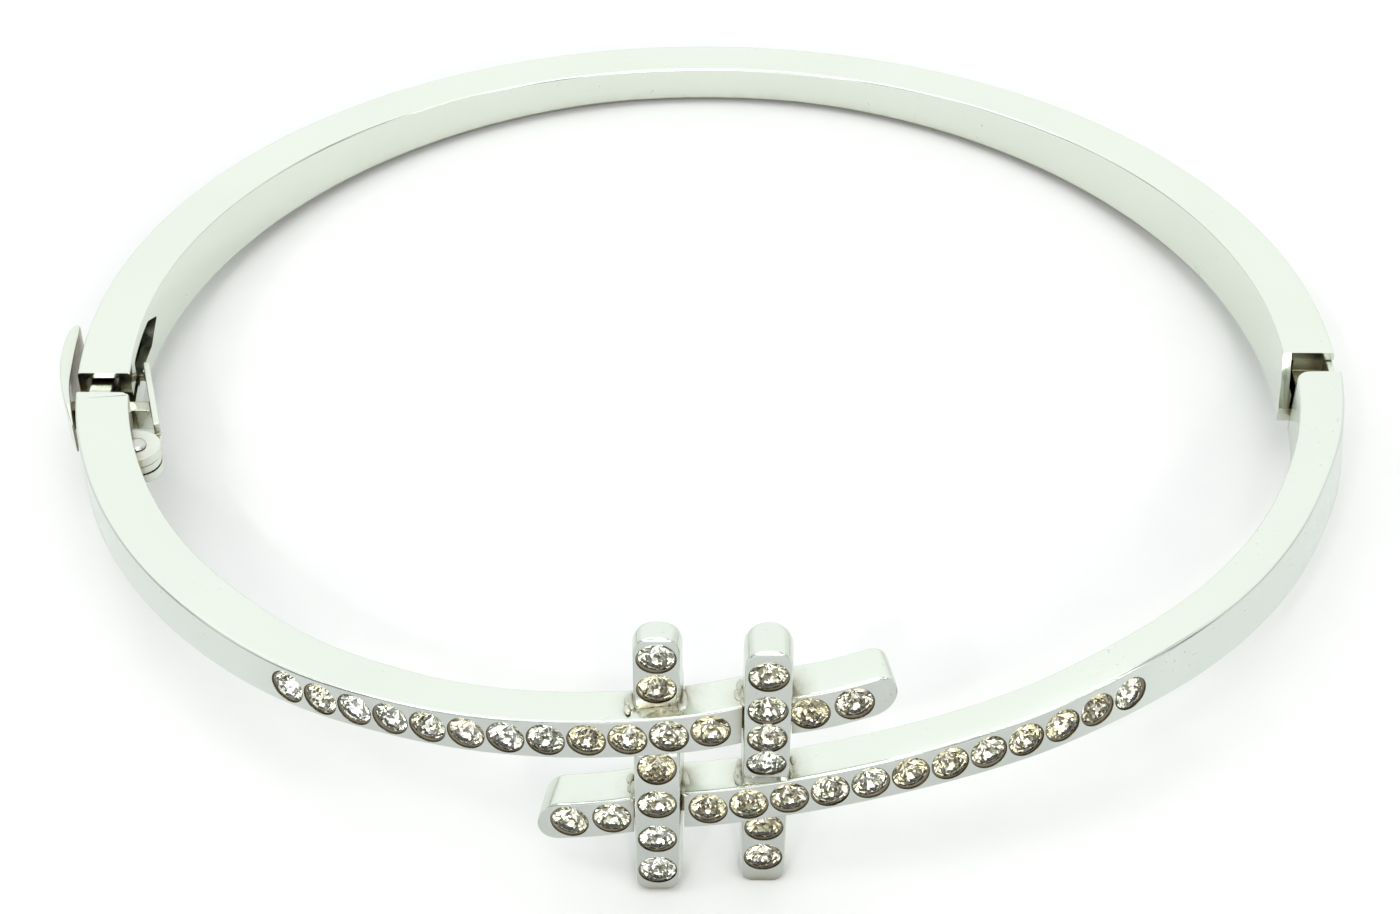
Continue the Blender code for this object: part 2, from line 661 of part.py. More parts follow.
def clasp_lever():
    cx, cy = LEVER_AXIS
    bm = bmesh.new()
    prism(bm, circle(cx, cy, LEVER_BARREL_R, 28), -0.22, 0.22)
    barrel = finish_mesh("clasp_lever", bm)
    # neck from the barrel to the strap
    bm = bmesh.new()
    prism(bm, [(-27.6, -6.6), (-26.95, -6.75), (-26.86, -5.55), (-27.2, -5.45)], -0.18, 0.20)
    boolean(barrel, cutter("add_lever_neck", bm), "UNION")
    # spring strap, standing on edge, from the neck to the window
    bm = bmesh.new()
    strap = [(-27.22, -5.72), (-26.92, -5.62), (-28.27, -0.78), (-28.57, -0.86)]
    prism(bm, strap, -0.24, 0.86)
    boolean(barrel, cutter("add_lever_strap", bm), "UNION")
    # hook nose that stands in the window
    bm = bmesh.new()
    prism(bm, [(-28.33, -1.10), (-28.33, -0.80), (-28.86, -0.80), (-29.02, -0.98), (-29.02, -1.10)], -0.20, 0.20)
    boolean(barrel, cutter("add_lever_nose", bm), "UNION")
    # bridge through the joint gap, out to the thumb leaf
    bm = bmesh.new()
    box(bm, -31.74, -27.66, -3.92, -3.18, -1.00, 0.22)
    boolean(barrel, cutter("add_lever_bridge", bm), "UNION")
    # pin hole and the spring's recess under it
    bm = bmesh.new()
    prism(bm, circle(cx, cy, LEVER_PIN_R + 0.05, 16), -1.2, 1.2)
    boolean(barrel, cutter("cut_lever_hole", bm))
    bm = bmesh.new()
    prism(bm, circle(cx, cy, 0.70, 20), -1.2, 0.11)
    boolean(barrel, cutter("cut_lever_recess", bm))
    return barrel


def thumb_leaf():
    """Crescent press piece outside the clasp: thin at the arm, proud at its tip."""
    outer = [(-31.16, -5.90), (-31.52, -5.1), (-31.94, -4.0), (-32.30, -2.8), (-32.56, -1.6), (-32.68, -0.4),
             (-32.69, 0.6), (-32.62, 1.3), (-32.44, 1.72), (-32.24, 1.78)]
    inner = [(-32.12, 1.55), (-32.06, 0.9), (-32.02, 0.0), (-31.96, -1.0), (-31.88, -2.0), (-31.78, -3.0),
             (-31.62, -3.8), (-31.46, -4.4), (-31.27, -5.1), (-31.08, -5.85)]
    bm = bmesh.new()
    rings = []
    for z, inset in ((-1.15, 0.08), (-1.0, 0.0), (1.15, 0.0), (1.30, 0.08)):
        ring = []
        for x, y in outer:
            ring.append(mm(x + inset * (0.6 if y > -5 else 0.1), y - (inset if y > 1.5 else 0), z))
        for x, y in inner:
            ring.append(mm(x, y, z))
        rings.append(ring)
    loft(bm, rings)
    obj = finish_mesh("thumb_leaf", bm)
    # pocket for the bridge's end
    bm = bmesh.new()
    box(bm, -31.77, -31.0, -3.95, -3.15, -1.03, 0.25)
    boolean(obj, cutter("cut_leaf_pocket", bm))
    return obj


def lever_pin():
    cx, cy = LEVER_AXIS
    bm = bmesh.new()
    rings = []
    for z, r in ((-0.74, 0.33), (0.77, 0.33), (0.77, 0.48), (0.84, 0.46), (0.90, 0.34), (0.93, 0.16)):
        rings.append([mm(x, y, z) for x, y in circle(cx, cy, r, 16)])
    loft(bm, rings)
    return finish_mesh("lever_pin", bm, STEEL, 0.25)


def lever_spring():
    """Torsion coil round the lever's pin, inside the barrel's recess."""
    cx, cy = LEVER_AXIS
    wire, mean, turns, pitch = 0.045, 0.53, 1.6, 0.125
    bm = bmesh.new()
    rings = []
    steps = 30
    for i in range(steps + 1):
        a = 2 * math.pi * turns * i / steps
        z = -0.16 + pitch * turns * i / steps
        centre = Vector((cx + mean * math.cos(a), cy + mean * math.sin(a), z))
        radial = Vector((math.cos(a), math.sin(a), 0))
        tangent = Vector((-math.sin(a) * mean, math.cos(a) * mean, pitch / (2 * math.pi))).normalized()
        binormal = tangent.cross(radial).normalized()
        ring = []
        for j in range(8):
            b = 2 * math.pi * j / 8
            ring.append(mm(*(centre + radial * (wire * math.cos(b)) + binormal * (wire * math.sin(b)))))
        rings.append(ring)
    loft(bm, rings)
    return finish_mesh("lever_spring", bm, STEEL, 0.25)


def set_parent(obj, parent):
    """Ride on an empty: the shape stays, the object's origin moves to the empty."""
    obj.data.transform(Matrix.Translation(-parent.location))
    obj.parent = parent


def main():
    clear_scene()
    bpy.context.scene.unit_settings.system = "METRIC"
    bpy.context.scene.unit_settings.scale_length = 1.0

    hinge_empty = bpy.data.objects.new("front_half_pivot", None)
    hinge_empty.location = mm(*HINGE_AXIS, 0)
    bpy.context.scene.collection.objects.link(hinge_empty)
    lever_empty = bpy.data.objects.new("lever_pivot", None)
    lever_empty.location = mm(*LEVER_AXIS, 0) - hinge_empty.location
    lever_empty.parent = hinge_empty
    bpy.context.scene.collection.objects.link(lever_empty)

    back_half()
    hinge_pin()

    cross = crossing_cutters()
    frames = stone_frames()
    cx, cy = LEVER_AXIS
    bm = bmesh.new()
    box(bm, -29.27, -26.0, cy - LUG_R - 0.05, cy + LUG_R + 0.05, -0.80, 1.00)
    notch = cutter("cut_bracket_notch", bm)
    front = [
        strand("upper_strand", "upper", CLASP_FRONT_Y, UPPER_TIP_X,
               cross["upper"] + [notch] + seat_cutters("cut_upper_seats", frames["upper"])),
        strand("lower_strand", "lower", HINGE_FRONT_Y, LOWER_TIP_X,
               cross["lower"] + seat_cutters("cut_lower_seats", frames["lower"])),
        bar("left_cross_bar", "left", cross["left"] + seat_cutters("cut_left_seats", frames["left"])),
        bar("right_cross_bar", "right", cross["right"] + seat_cutters("cut_right_seats", frames["right"])),
        hinge_knuckle(), clasp_tongue(), lever_bracket(), lever_pin(), lever_spring(),
    ]
    for side, label in (("upper", "upper_stone"), ("lower", "lower_stone"), ("left", "left_bar_stone"), ("right", "right_bar_stone")):
        for i, frame in enumerate(frames[side]):
            front.append(stone("%s_%02d" % (label, i + 1), frame, None))
    for obj in front:
        set_parent(obj, hinge_empty)
    for obj in (clasp_lever(), thumb_leaf()):
        world = mm(*LEVER_AXIS, 0)
        obj.data.transform(Matrix.Translation(-world))
        obj.parent = lever_empty


main()
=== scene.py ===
"""Looks of the hinged oval bangle: bright plate, foil-backed crystals, pale studio."""

import math
import random

import bmesh
import bpy
import numpy as np
from mathutils import Matrix, Vector


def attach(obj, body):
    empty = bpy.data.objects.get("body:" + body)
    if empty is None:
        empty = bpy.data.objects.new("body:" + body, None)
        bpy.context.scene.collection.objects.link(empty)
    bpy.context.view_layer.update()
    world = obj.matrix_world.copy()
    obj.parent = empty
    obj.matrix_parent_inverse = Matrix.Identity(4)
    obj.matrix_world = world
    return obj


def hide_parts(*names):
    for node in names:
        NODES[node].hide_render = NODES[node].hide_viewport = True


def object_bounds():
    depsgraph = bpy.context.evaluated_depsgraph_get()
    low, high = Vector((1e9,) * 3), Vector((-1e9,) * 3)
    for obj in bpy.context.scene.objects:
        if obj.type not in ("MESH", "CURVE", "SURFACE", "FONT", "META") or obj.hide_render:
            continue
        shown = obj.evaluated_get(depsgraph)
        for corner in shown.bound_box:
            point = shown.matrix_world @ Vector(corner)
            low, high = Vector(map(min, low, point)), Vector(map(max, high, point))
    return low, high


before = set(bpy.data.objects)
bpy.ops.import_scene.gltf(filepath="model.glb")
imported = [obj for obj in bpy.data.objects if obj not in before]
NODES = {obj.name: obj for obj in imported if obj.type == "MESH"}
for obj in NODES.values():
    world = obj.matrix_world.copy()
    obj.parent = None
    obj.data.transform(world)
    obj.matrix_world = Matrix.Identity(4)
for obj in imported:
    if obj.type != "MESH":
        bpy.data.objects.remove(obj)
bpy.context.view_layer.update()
MM = 0.001
rng = random.Random(7)


# ---- node helpers -------------------------------------------------------------
class Tree:
    def __init__(self, name):
        self.mat = bpy.data.materials.new(name)
        self.mat.use_nodes = True
        self.tree = self.mat.node_tree
        self.shader = self.tree.nodes["Principled BSDF"]
        self.out = self.tree.nodes["Material Output"]

    def add(self, kind, **values):
        node = self.tree.nodes.new(kind)
        for key, value in values.items():
            setattr(node, key, value)
        return node

    def link(self, a, b):
        self.tree.links.new(a, b)

    def value(self, socket, value):
        self.shader.inputs[socket].default_value = value

    def coords(self):
        return self.add("ShaderNodeTexCoord").outputs["Object"]

    def noise(self, coords, scale, detail=3.0, rough=0.5, distortion=0.0):
        node = self.add("ShaderNodeTexNoise")
        node.inputs["Scale"].default_value = scale
        node.inputs["Detail"].default_value = detail
        node.inputs["Roughness"].default_value = rough
        node.inputs["Distortion"].default_value = distortion
        self.link(coords, node.inputs["Vector"])
        return node.outputs["Fac"]

    def ramp(self, fac, stops, interpolation="LINEAR"):
        node = self.add("ShaderNodeValToRGB")
        node.color_ramp.interpolation = interpolation
        elements = node.color_ramp.elements
        while len(elements) > 1:
            elements.remove(elements[-1])
        for i, (at, colour) in enumerate(stops):
            element = elements[0] if i == 0 else elements.new(at)
            element.position = at
            element.color = colour if len(colour) == 4 else (*colour, 1.0)
        self.link(fac, node.inputs["Fac"])
        return node.outputs["Color"]

    def map(self, fac, low, high, to_low, to_high):
        node = self.add("ShaderNodeMapRange")
        node.inputs["From Min"].default_value = low
        node.inputs["From Max"].default_value = high
        node.inputs["To Min"].default_value = to_low
        node.inputs["To Max"].default_value = to_high
        self.link(fac, node.inputs["Value"])
        return node.outputs["Result"]

    def math(self, op, a, b):
        node = self.add("ShaderNodeMath", operation=op)
        for i, v in enumerate((a, b)):
            if isinstance(v, (int, float)):
                node.inputs[i].default_value = v
            else:
                self.link(v, node.inputs[i])
        return node.outputs["Value"]

    def mix(self, fac, a, b, blend="MIX"):
        node = self.add("ShaderNodeMix", data_type="RGBA", blend_type=blend)
        for socket, v in ((node.inputs[0], fac), (node.inputs[6], a), (node.inputs[7], b)):
            if isinstance(v, (int, float)):
                socket.default_value = v
            elif isinstance(v, tuple):
                socket.default_value = v if len(v) == 4 else (*v, 1.0)
            else:
                self.link(v, socket)
        return node.outputs[2]

    def bump(self, height, strength, distance):
        node = self.add("ShaderNodeBump")
        node.inputs["Strength"].default_value = strength
        node.inputs["Distance"].default_value = distance
        self.link(height, node.inputs["Height"])
        self.link(node.outputs["Normal"], self.shader.inputs["Normal"])


def plate(name, base=(0.90, 0.925, 0.89), rough=0.16, pits=1.0, shade_depth=0.55, seed=0.0, stretch_shade=None, relief=1.0):
    """Bright plated casting: faint cast ripple, pits, painted shade in the seams and gaps where faces meet, and an
    optional darker tone for the stone-set stretch (painted shade).
    """
    t = Tree(name)
    t.value("Metallic", 1.0)
    c = t.coords()
    shifted = t.add("ShaderNodeVectorMath", operation="ADD")
    shifted.inputs[1].default_value = (seed, seed * 0.7, seed * 0.3)
    t.link(c, shifted.inputs[0])
    c = shifted.outputs["Vector"]
    broad = t.noise(c, 95.0, 2.0, 0.5)
    fine = t.noise(c, 1400.0, 4.0, 0.6)
    spots = t.noise(c, 3300.0, 1.5, 0.5)
    patches = t.noise(c, 260.0, 2.0, 0.6)
    pit_mask = t.math("MULTIPLY", t.map(spots, 0.66, 0.74, 0.0, 1.0), t.map(patches, 0.50, 0.66, 0.0, 1.0))
    tone = t.mix(broad, tuple(v * 0.955 for v in base), tuple(min(1.0, v * 1.03) for v in base))
    if stretch_shade:
        # painted shade: the stone-set stretch gets a darker tone than the plain arms
        split = t.add("ShaderNodeSeparateXYZ")
        t.link(t.coords(), split.inputs["Vector"])
        stretch = t.map(t.math("ABSOLUTE", split.outputs["X"], 0.0), 0.0150, 0.0205, 1.0, 0.0)
        tone = t.mix(stretch, tone, t.mix(fine, tuple(v * 0.92 for v in stretch_shade), tuple(v * 1.06 for v in stretch_shade)))
    # painted shade and painted reflection: a gold-brown tone where faces meet and in gaps, driven by ambient occlusion
    ao = t.add("ShaderNodeAmbientOcclusion")
    ao.samples = 8
    ao.inputs["Distance"].default_value = 0.0012
    seam_shade = t.math("MULTIPLY", t.map(ao.outputs["AO"], 0.40, 0.97, shade_depth, 0.0), t.map(fine, 0.35, 0.60, 0.55, 1.0))
    tone = t.mix(seam_shade, tone, (0.27, 0.235, 0.14))
    # painted shade: near-black brown in the narrowest gaps and recesses
    gap_shade = t.map(ao.outputs["AO"], 0.20, 0.68, 0.95 * shade_depth, 0.0)
    tone = t.mix(gap_shade, tone, t.mix(patches, (0.045, 0.034, 0.016), (0.19, 0.135, 0.05)))
    tone = t.mix(t.math("MULTIPLY", pit_mask, 0.30 * pits), tone, (0.42, 0.41, 0.34))
    t.link(tone, t.shader.inputs["Base Color"])
    r = t.map(fine, 0.3, 0.7, rough - 0.03, rough + 0.07)
    r = t.math("ADD", r, t.math("MULTIPLY", pit_mask, 0.22 * pits))
    t.link(r, t.shader.inputs["Roughness"])
    height = t.math("ADD", t.math("MULTIPLY", broad, 0.25), t.math("MULTIPLY", fine, 0.05))
    height = t.math("SUBTRACT", height, t.math("MULTIPLY", pit_mask, 0.3 * pits))
    t.bump(height, 0.35, 0.00006 * relief)
    return t.mat


# ---- the bangle's own dimensions, in millimetres -------------------------------
HALF_WIDTH = 31.5
BACK_DEPTH, FRONT_DEPTH = 28.2, 27.5
BACK_POWER, FRONT_POWER = 2.0, 2.1
SHIFT = (0.4162, -0.1196, 0.125)
END_HEIGHT, BACK_HEIGHT, FLAT_HALF, BAND_THICK = 3.4, 2.0, 5.0, 2.6
STRAND_HEIGHT, STRAND_THICK = 2.05, 1.95
STRAND_RISE, STRAND_SLOPE, STRAND_BOW = 2.45, 0.19, 0.004
UPPER_TIP_X, LOWER_TIP_X = 7.9, -7.5
HINGE_SWELL = 0.30
CORNER = {"upper": 0.22, "lower": 0.60}
BAR_X = {"left": -2.2, "right": 2.45}
BAR_WIDTH = 1.95
BAR_DRAFT = {"left": (0.04, 0.18), "right": (0.08, 0.06)}
BAR_ENDS = {"left": (-7.62, 7.05), "right": (-7.75, 7.50)}
STRAND_DIP = 0.20
BAR_FACE = {"left": [(-7.62, 0.30), (-2.9, 0.22), (-1.2, 0.15), (0.5, -0.15), (1.7, -0.80), (7.05, -0.80)],
            "right": [(-7.75, -0.30), (-2.7, -0.35), (-1.2, -0.20), (0.3, 0.30), (1.6, 0.42), (7.5, 0.42)]}
BAR_BACK = {"left": [(-7.62, -1.70), (-2.9, -1.73), (1.7, -2.00), (7.05, -2.00)],
            "right": [(-7.75, -1.95), (-2.7, -1.95), (1.6, -1.53), (7.5, -1.53)]}
SOLDER_GAP = 0.03
SEAT_R, STONE_R = 0.86, 0.82
STONE_PITCH = 1.785
CLASP_BACK_Y, CLASP_FRONT_Y = -2.8, -4.2
HINGE_BACK_Y, HINGE_FLOOR_Y, HINGE_FRONT_Y = -0.75, -2.0, -2.2
HINGE_AXIS, HINGE_PIN_R, HINGE_NECK, HINGE_STOP_DEG = (30.35, 0.55), 0.40, (0.78, 1.10), 45.0
LEVER_AXIS, LEVER_PIN_R, LUG_R = (-27.80, -7.2), 0.33, 1.15
BAR_STONES = {"left": [5.91, 4.13, 0.02, -1.98, -4.18, -6.20], "right": [6.12, 4.12, 2.45, 0.80, -4.07, -6.02]}


def mm(x, y, z):
    return Vector(((x + SHIFT[0]) * MM, (y + SHIFT[1]) * MM, (z + SHIFT[2]) * MM))


def keyed(keys, s):
    if s <= keys[0][0]:
        return keys[0][1]
    for (s0, v0), (s1, v1) in zip(keys, keys[1:]):
        if s <= s1:
            w = (s - s0) / (s1 - s0)
            w = w * w * (3 - 2 * w)
            return v0 + (v1 - v0) * w
    return keys[-1][1]


def bump_of(v):
    return math.exp(-v * v)


def outline_point(t, depth, power):
    c, s = math.cos(t), math.sin(t)
    return (HALF_WIDTH * math.copysign(abs(c) ** (2 / power), c), depth * math.copysign(abs(s) ** (2 / power), s))


def front_y(x):
    return -FRONT_DEPTH * (1 - (abs(x) / HALF_WIDTH) ** FRONT_POWER) ** (1 / FRONT_POWER)


def front_normal(x):
    e = 1e-3
    g = (front_y(x + e) - front_y(x - e)) / (2 * e)
    return Vector((g, -1.0, 0.0)).normalized()


def side_x(y):
    return HALF_WIDTH * (1 - (abs(y) / FRONT_DEPTH) ** FRONT_POWER) ** (1 / FRONT_POWER)


def path_by_arc(points, count):
    lengths = [0.0]
    for a, b in zip(points, points[1:]):
        lengths.append(lengths[-1] + math.dist(a, b))
    out, j = [], 0
    for i in range(count):
        want = lengths[-1] * i / (count - 1)
        while j < len(lengths) - 2 and lengths[j + 1] < want:
            j += 1
        w = (want - lengths[j]) / max(1e-9, lengths[j + 1] - lengths[j])
        out.append(tuple(a + (b - a) * w for a, b in zip(points[j], points[j + 1])))
    return out


def rise(x):
    v = STRAND_RISE + STRAND_SLOPE * x + STRAND_BOW * x * x
    w = min(1.0, max(0.0, (x + 22.0) / 8.0))
    return v * w * w * (3 - 2 * w)


def strand_offset(side, x):
    under = BAR_X["right"] if side == "upper" else BAR_X["left"]
    swell = HINGE_SWELL * bump_of((x - 31.35) / 1.3) if side == "lower" else 0.0
    return swell - STRAND_DIP * bump_of((x - under) / 1.7)


ARM_KEYS = {
    "upper": {"height": [(0.0, END_HEIGHT), (0.42, 2.30), (0.75, STRAND_HEIGHT)],
              "thick": [(0.0, 2.6), (0.45, 2.45), (0.85, STRAND_THICK)],
              "draft": [(0.0, 0.0), (0.6, 0.12), (1.0, 0.20)]},
    "lower": {"height": [(0.0, END_HEIGHT), (0.45, 2.65), (0.85, STRAND_HEIGHT)],
              "thick": [(0.0, 2.45), (0.30, 2.05), (0.70, STRAND_THICK)],
              "draft": [(0.0, 0.20), (0.12, 0.42), (0.35, 0.42), (0.7, 0.36), (1.0, 0.20)]},
}


def strand_frame(side, x):
    mirror = 1 if side == "upper" else -1
    angle = 1.0 - math.acos(max(-1.0, min(1.0, -x * mirror / HALF_WIDTH))) / (math.pi / 2) if x * mirror < 0 else 0.0
    s = 1.0 - angle
    keys = ARM_KEYS[side]
    height, thick, draft = (keyed(keys[k], s) for k in ("height", "thick", "draft"))
    return height, thick, draft, mirror * rise(x * mirror), front_normal(x)


def face_point(side, x):
    n = front_normal(x)
    d = strand_offset(side, x)
    return Vector((x + n.x * d, front_y(x) + n.y * d, strand_frame(side, x)[3]))


# ---- mesh helpers -------------------------------------------------------------
def fillet(corners, radius, steps=4):
    """Polygon [(u, v)] with each corner replaced by a round of that radius, in the same order."""
    out = []
    n = len(corners)
    for i, p in enumerate(corners):
        a, b = corners[i - 1], corners[(i + 1) % n]
        r = radius[i] if isinstance(radius, (list, tuple)) else radius
        da, db = math.dist(p, a), math.dist(p, b)
        r = min(r, 0.45 * da, 0.45 * db)
        pa = (p[0] + (a[0] - p[0]) / da * r, p[1] + (a[1] - p[1]) / da * r)
        pb = (p[0] + (b[0] - p[0]) / db * r, p[1] + (b[1] - p[1]) / db * r)
        for k in range(steps + 1):
            t = k / steps
            out.append(tuple((1 - t) ** 2 * q0 + 2 * t * (1 - t) * q1 + t * t * q2 for q0, q1, q2 in zip(pa, p, pb)))
    return out


def loft(bm, rings):
    made = [[bm.verts.new(p) for p in ring] for ring in rings]
    count = len(made[0])
    for a, b in zip(made, made[1:]):
        for i in range(count):
            j = (i + 1) % count
            bm.faces.new((a[i], a[j], b[j], b[i]))
    bm.faces.new(list(reversed(made[0])))
    bm.faces.new(made[-1])


def prism(bm, outline, low, high):
    loft(bm, [[mm(x, y, low) for x, y in outline], [mm(x, y, high) for x, y in outline]])


def box(bm, x0, x1, y0, y1, z0, z1):
    prism(bm, [(x0, y0), (x1, y0), (x1, y1), (x0, y1)], z0, z1)


def circle(cx, cy, r, sides):
    return [(cx + r * math.cos(2 * math.pi * i / sides), cy + r * math.sin(2 * math.pi * i / sides)) for i in range(sides)]


def made(name, bm):
    bmesh.ops.remove_doubles(bm, verts=bm.verts, dist=1e-8)
    bmesh.ops.recalc_face_normals(bm, faces=bm.faces)
    mesh = bpy.data.meshes.new(name)
    bm.to_mesh(mesh)
    bm.free()
    obj = bpy.data.objects.new(name, mesh)
    bpy.context.scene.collection.objects.link(obj)
    return obj


def carve(obj, cutters):
    """Applies exact cuts one after another and drops the cutters."""
    for c in cutters:
        mod = obj.modifiers.new(c.name, "BOOLEAN")
        mod.operation = "DIFFERENCE"
        mod.solver = "EXACT"
        mod.object = c
    bpy.context.view_layer.update()
    graph = bpy.context.evaluated_depsgraph_get()
    mesh = bpy.data.meshes.new_from_object(obj.evaluated_get(graph))
    obj.modifiers.clear()
    old = obj.data
    obj.data = mesh
    bpy.data.meshes.remove(old)
    for c in cutters:
        data = c.data
        bpy.data.objects.remove(c, do_unlink=True)
        bpy.data.meshes.remove(data)
    return obj


def dress(obj, mat, body, nodes=(), sharp=32.0):
    obj.data.materials.clear()
    obj.data.materials.append(mat)
    obj.data.shade_smooth()
    if sharp:
        obj.data.set_sharp_from_angle(angle=math.radians(sharp))
    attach(obj, body)
    if nodes:
        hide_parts(*nodes)
    return obj


# ---- back half ----------------------------------------------------------------
def back_path(count):
    dense = []
    y = HINGE_FLOOR_Y
    while y < 0:
        dense.append((side_x(y), y))
        y += 0.05
    for i in range(1201):
        dense.append(outline_point(math.pi * i / 1200, BACK_DEPTH, BACK_POWER))
    y = -0.05
    while y > CLASP_BACK_Y:
        dense.append((-side_x(y), y))
        y -= 0.05
    dense.append((-side_x(CLASP_BACK_Y), CLASP_BACK_Y))
    return path_by_arc(dense, count)


def back_casting():
    count = 221
    path = back_path(count)
    bm = bmesh.new()
    rings = []
    for i, (x, y) in enumerate(path):
        ax, ay = path[max(0, i - 1)]
        bx, by = path[min(count - 1, i + 1)]
        t = Vector((bx - ax, by - ay, 0)).normalized()
        n = Vector((t.y, -t.x, 0))
        if i in (0, count - 1):
            n = Vector((math.copysign(1, x), 0, 0))
        k = max(0.0, min(1.0, (abs(x) - FLAT_HALF) / (HALF_WIDTH - FLAT_HALF))) ** 1.5
        h = BACK_HEIGHT + (END_HEIGHT - BACK_HEIGHT) * k
        top = END_HEIGHT / 2
        corners = [(0.0, top), (-BAND_THICK, top), (-BAND_THICK, top - h), (0.0, top - h)]
        ring = fillet(corners, [0.20, 0.13, 0.13, 0.20])
        rings.append([mm(x + n.x * u, y + n.y * u, v) for u, v in ring])
    loft(bm, rings)
    obj = made("back_half_casting", bm)
    cuts = []

    def cut(build):
        b = bmesh.new()
        build(b)
        cuts.append(made("cut_%d" % len(cuts), b))

    hx, hy = HINGE_AXIS
    stop = math.radians(HINGE_STOP_DEG)

    def bevel(rx):
        return (hx + rx, hy + (HINGE_NECK[1] + SOLDER_GAP - rx * math.cos(stop)) / math.sin(stop))

    cut(lambda b: box(b, -31.0, -29.35, CLASP_BACK_Y - 0.6, 2.6, -1.30, 1.40))
    cut(lambda b: loft(b, [[mm(x, y, z) for y, z in fillet([(-1.25, -0.5), (2.2, -0.5), (3.5, 0.45), (2.2, 1.1), (-1.25, 1.1)], 0.15, 3)]
                           for x in (-29.42, -27.6)]))
    cut(lambda b: box(b, -29.12, -28.0, CLASP_BACK_Y - 0.6, -1.2, -0.28, 0.28))
    cut(lambda b: box(b, 29.35, 31.30, HINGE_FLOOR_Y - 0.8, 1.75, -0.90, 1.25))
    cut(lambda b: prism(b, [(hx + 0.80, -3.0), (hx + 2.2, -3.0), bevel(2.2), bevel(0.80)], -0.895, 1.245))
    cut(lambda b: box(b, 29.30, 32.6, HINGE_FLOOR_Y - 0.8, HINGE_BACK_Y, 0.0, 2.4))
    cut(lambda b: loft(b, [[mm(x, y, z) for y, z in ((HINGE_BACK_Y, 2.4), (HINGE_BACK_Y, 1.72), (-1.25, 0.9),
                                                     (HINGE_FLOOR_Y + 0.02, -0.9), (-3.0, -0.9), (-3.0, 2.4))]
                           for x in (27.8, 29.34)]))
    cut(lambda b: prism(b, [(29.7, HINGE_FLOOR_Y - 0.02), (31.0, HINGE_BACK_Y), (32.6, HINGE_BACK_Y), (32.6, -3.0), (29.7, -3.0)],
                        -2.3, -0.86))
    cut(lambda b: prism(b, circle(hx, hy, HINGE_PIN_R + 0.015, 40), -2.4, 1.52))
    return carve(obj, cuts)


# ---- front half ---------------------------------------------------------------
def strand_casting(name, side, start_y, tip_x, cuts):
    mirror = 1 if side == "upper" else -1
    dense = []
    steps = 400
    for i in range(steps + 1):
        y = start_y + (-20.0 - start_y) * i / steps
        dense.append((-side_x(y) * mirror, y))
    x0 = dense[-1][0]
    for i in range(1, 901):
        x = x0 + (tip_x - x0) * i / 900
        dense.append((x, front_y(x)))
    even = path_by_arc(dense, 190)
    corner = CORNER[side]
    stations = []
    for a in (0, 12, 25, 40, 55, 72, 90):
        y = start_y - corner * (1 - math.cos(math.radians(a)))
        stations.append((-side_x(y) * mirror, y, 1.0, corner * (1 - math.sin(math.radians(a))), 0.0))
    arms = len(stations)
    r = STRAND_HEIGHT / 2 * 0.98
    stations += [(x, y, 1.0, 0.0, 0.0) for x, y in even
                 if (tip_x - x) * mirror > r + 0.06 and (y < start_y - corner - 0.05 or abs(x) < 25)]
    for a in range(0, 91, 6):
        x = tip_x - mirror * (r - r * math.sin(math.radians(a)))
        stations.append((x, front_y(x), max(0.04, math.cos(math.radians(a))), 0.0, 0.16 * (a / 90.0) ** 4))
    bm = bmesh.new()
    rings = []
    for i, (x, y, shrink, pare, end) in enumerate(stations):
        height, thick, draft, z, n = strand_frame(side, x)
        if i < arms:
            n = Vector((-1.0 * mirror, 0, 0))
        elif abs(x) > 20:
            g = 2e-3
            t = Vector(((side_x(y + g) - side_x(y - g)) * -mirror, 2 * g, 0)).normalized()
            n = Vector((t.y, -t.x, 0))
            if n.x * -mirror < 0:
                n = -n
        d = strand_offset(side, x)
        half = height / 2 * shrink
        corners = [(d - draft / 2 - end, half), (d - thick + pare + end, half), (d - thick + pare + end, -half), (d + draft / 2 - end, -half)]
        s = min(1.0, abs(x) / 20.0)
        ro = 0.10 + 0.08 * s
        ring = fillet(corners, [ro, 0.14, 0.14, ro])
        rings.append([mm(x + n.x * u, y + n.y * u, z + v) for u, v in ring])
    loft(bm, rings)
    return carve(made(name, bm), cuts)


def bar_casting(name, side, cuts):
    x0 = BAR_X[side]
    low, high = BAR_ENDS[side]
    end = 0.85
    stations = [(end - end * math.sin(math.radians(a)), max(0.16, math.cos(math.radians(a)) ** 0.6), 0.16 * (a / 90.0) ** 3)
                for a in range(90, -1, -9)]
    zs = [(low + d, k, i) for d, k, i in stations]
    inner = 90
    for j in range(1, inner):
        zs.append((low + end + (high - low - 2 * end) * j / inner, 1.0, 0.0))
    zs += [(high - d, k, i) for d, k, i in reversed(stations)]
    bm = bmesh.new()
    rings = []
    for z, k, inset in zs:
        w = BAR_WIDTH / 2 * k
        wl, wr = w + BAR_DRAFT[side][0] * k, w + BAR_DRAFT[side][1] * k
        front, back = front_y(x0) - keyed(BAR_FACE[side], z) + inset, front_y(x0) - keyed(BAR_BACK[side], z) - inset
        free = min(1.0, max(0.0, (abs(z) - 4.0) / 0.9))
        rb = 0.20 + 0.48 * free * free * (3 - 2 * free)
        ring = fillet([(x0 - w, front), (x0 + w, front), (x0 + wr, back), (x0 - wl, back)], [0.14, 0.14, rb, rb], 7)
        rings.append([mm(u, v, z) for u, v in ring])
    loft(bm, rings)
    return carve(made(name, bm), cuts)


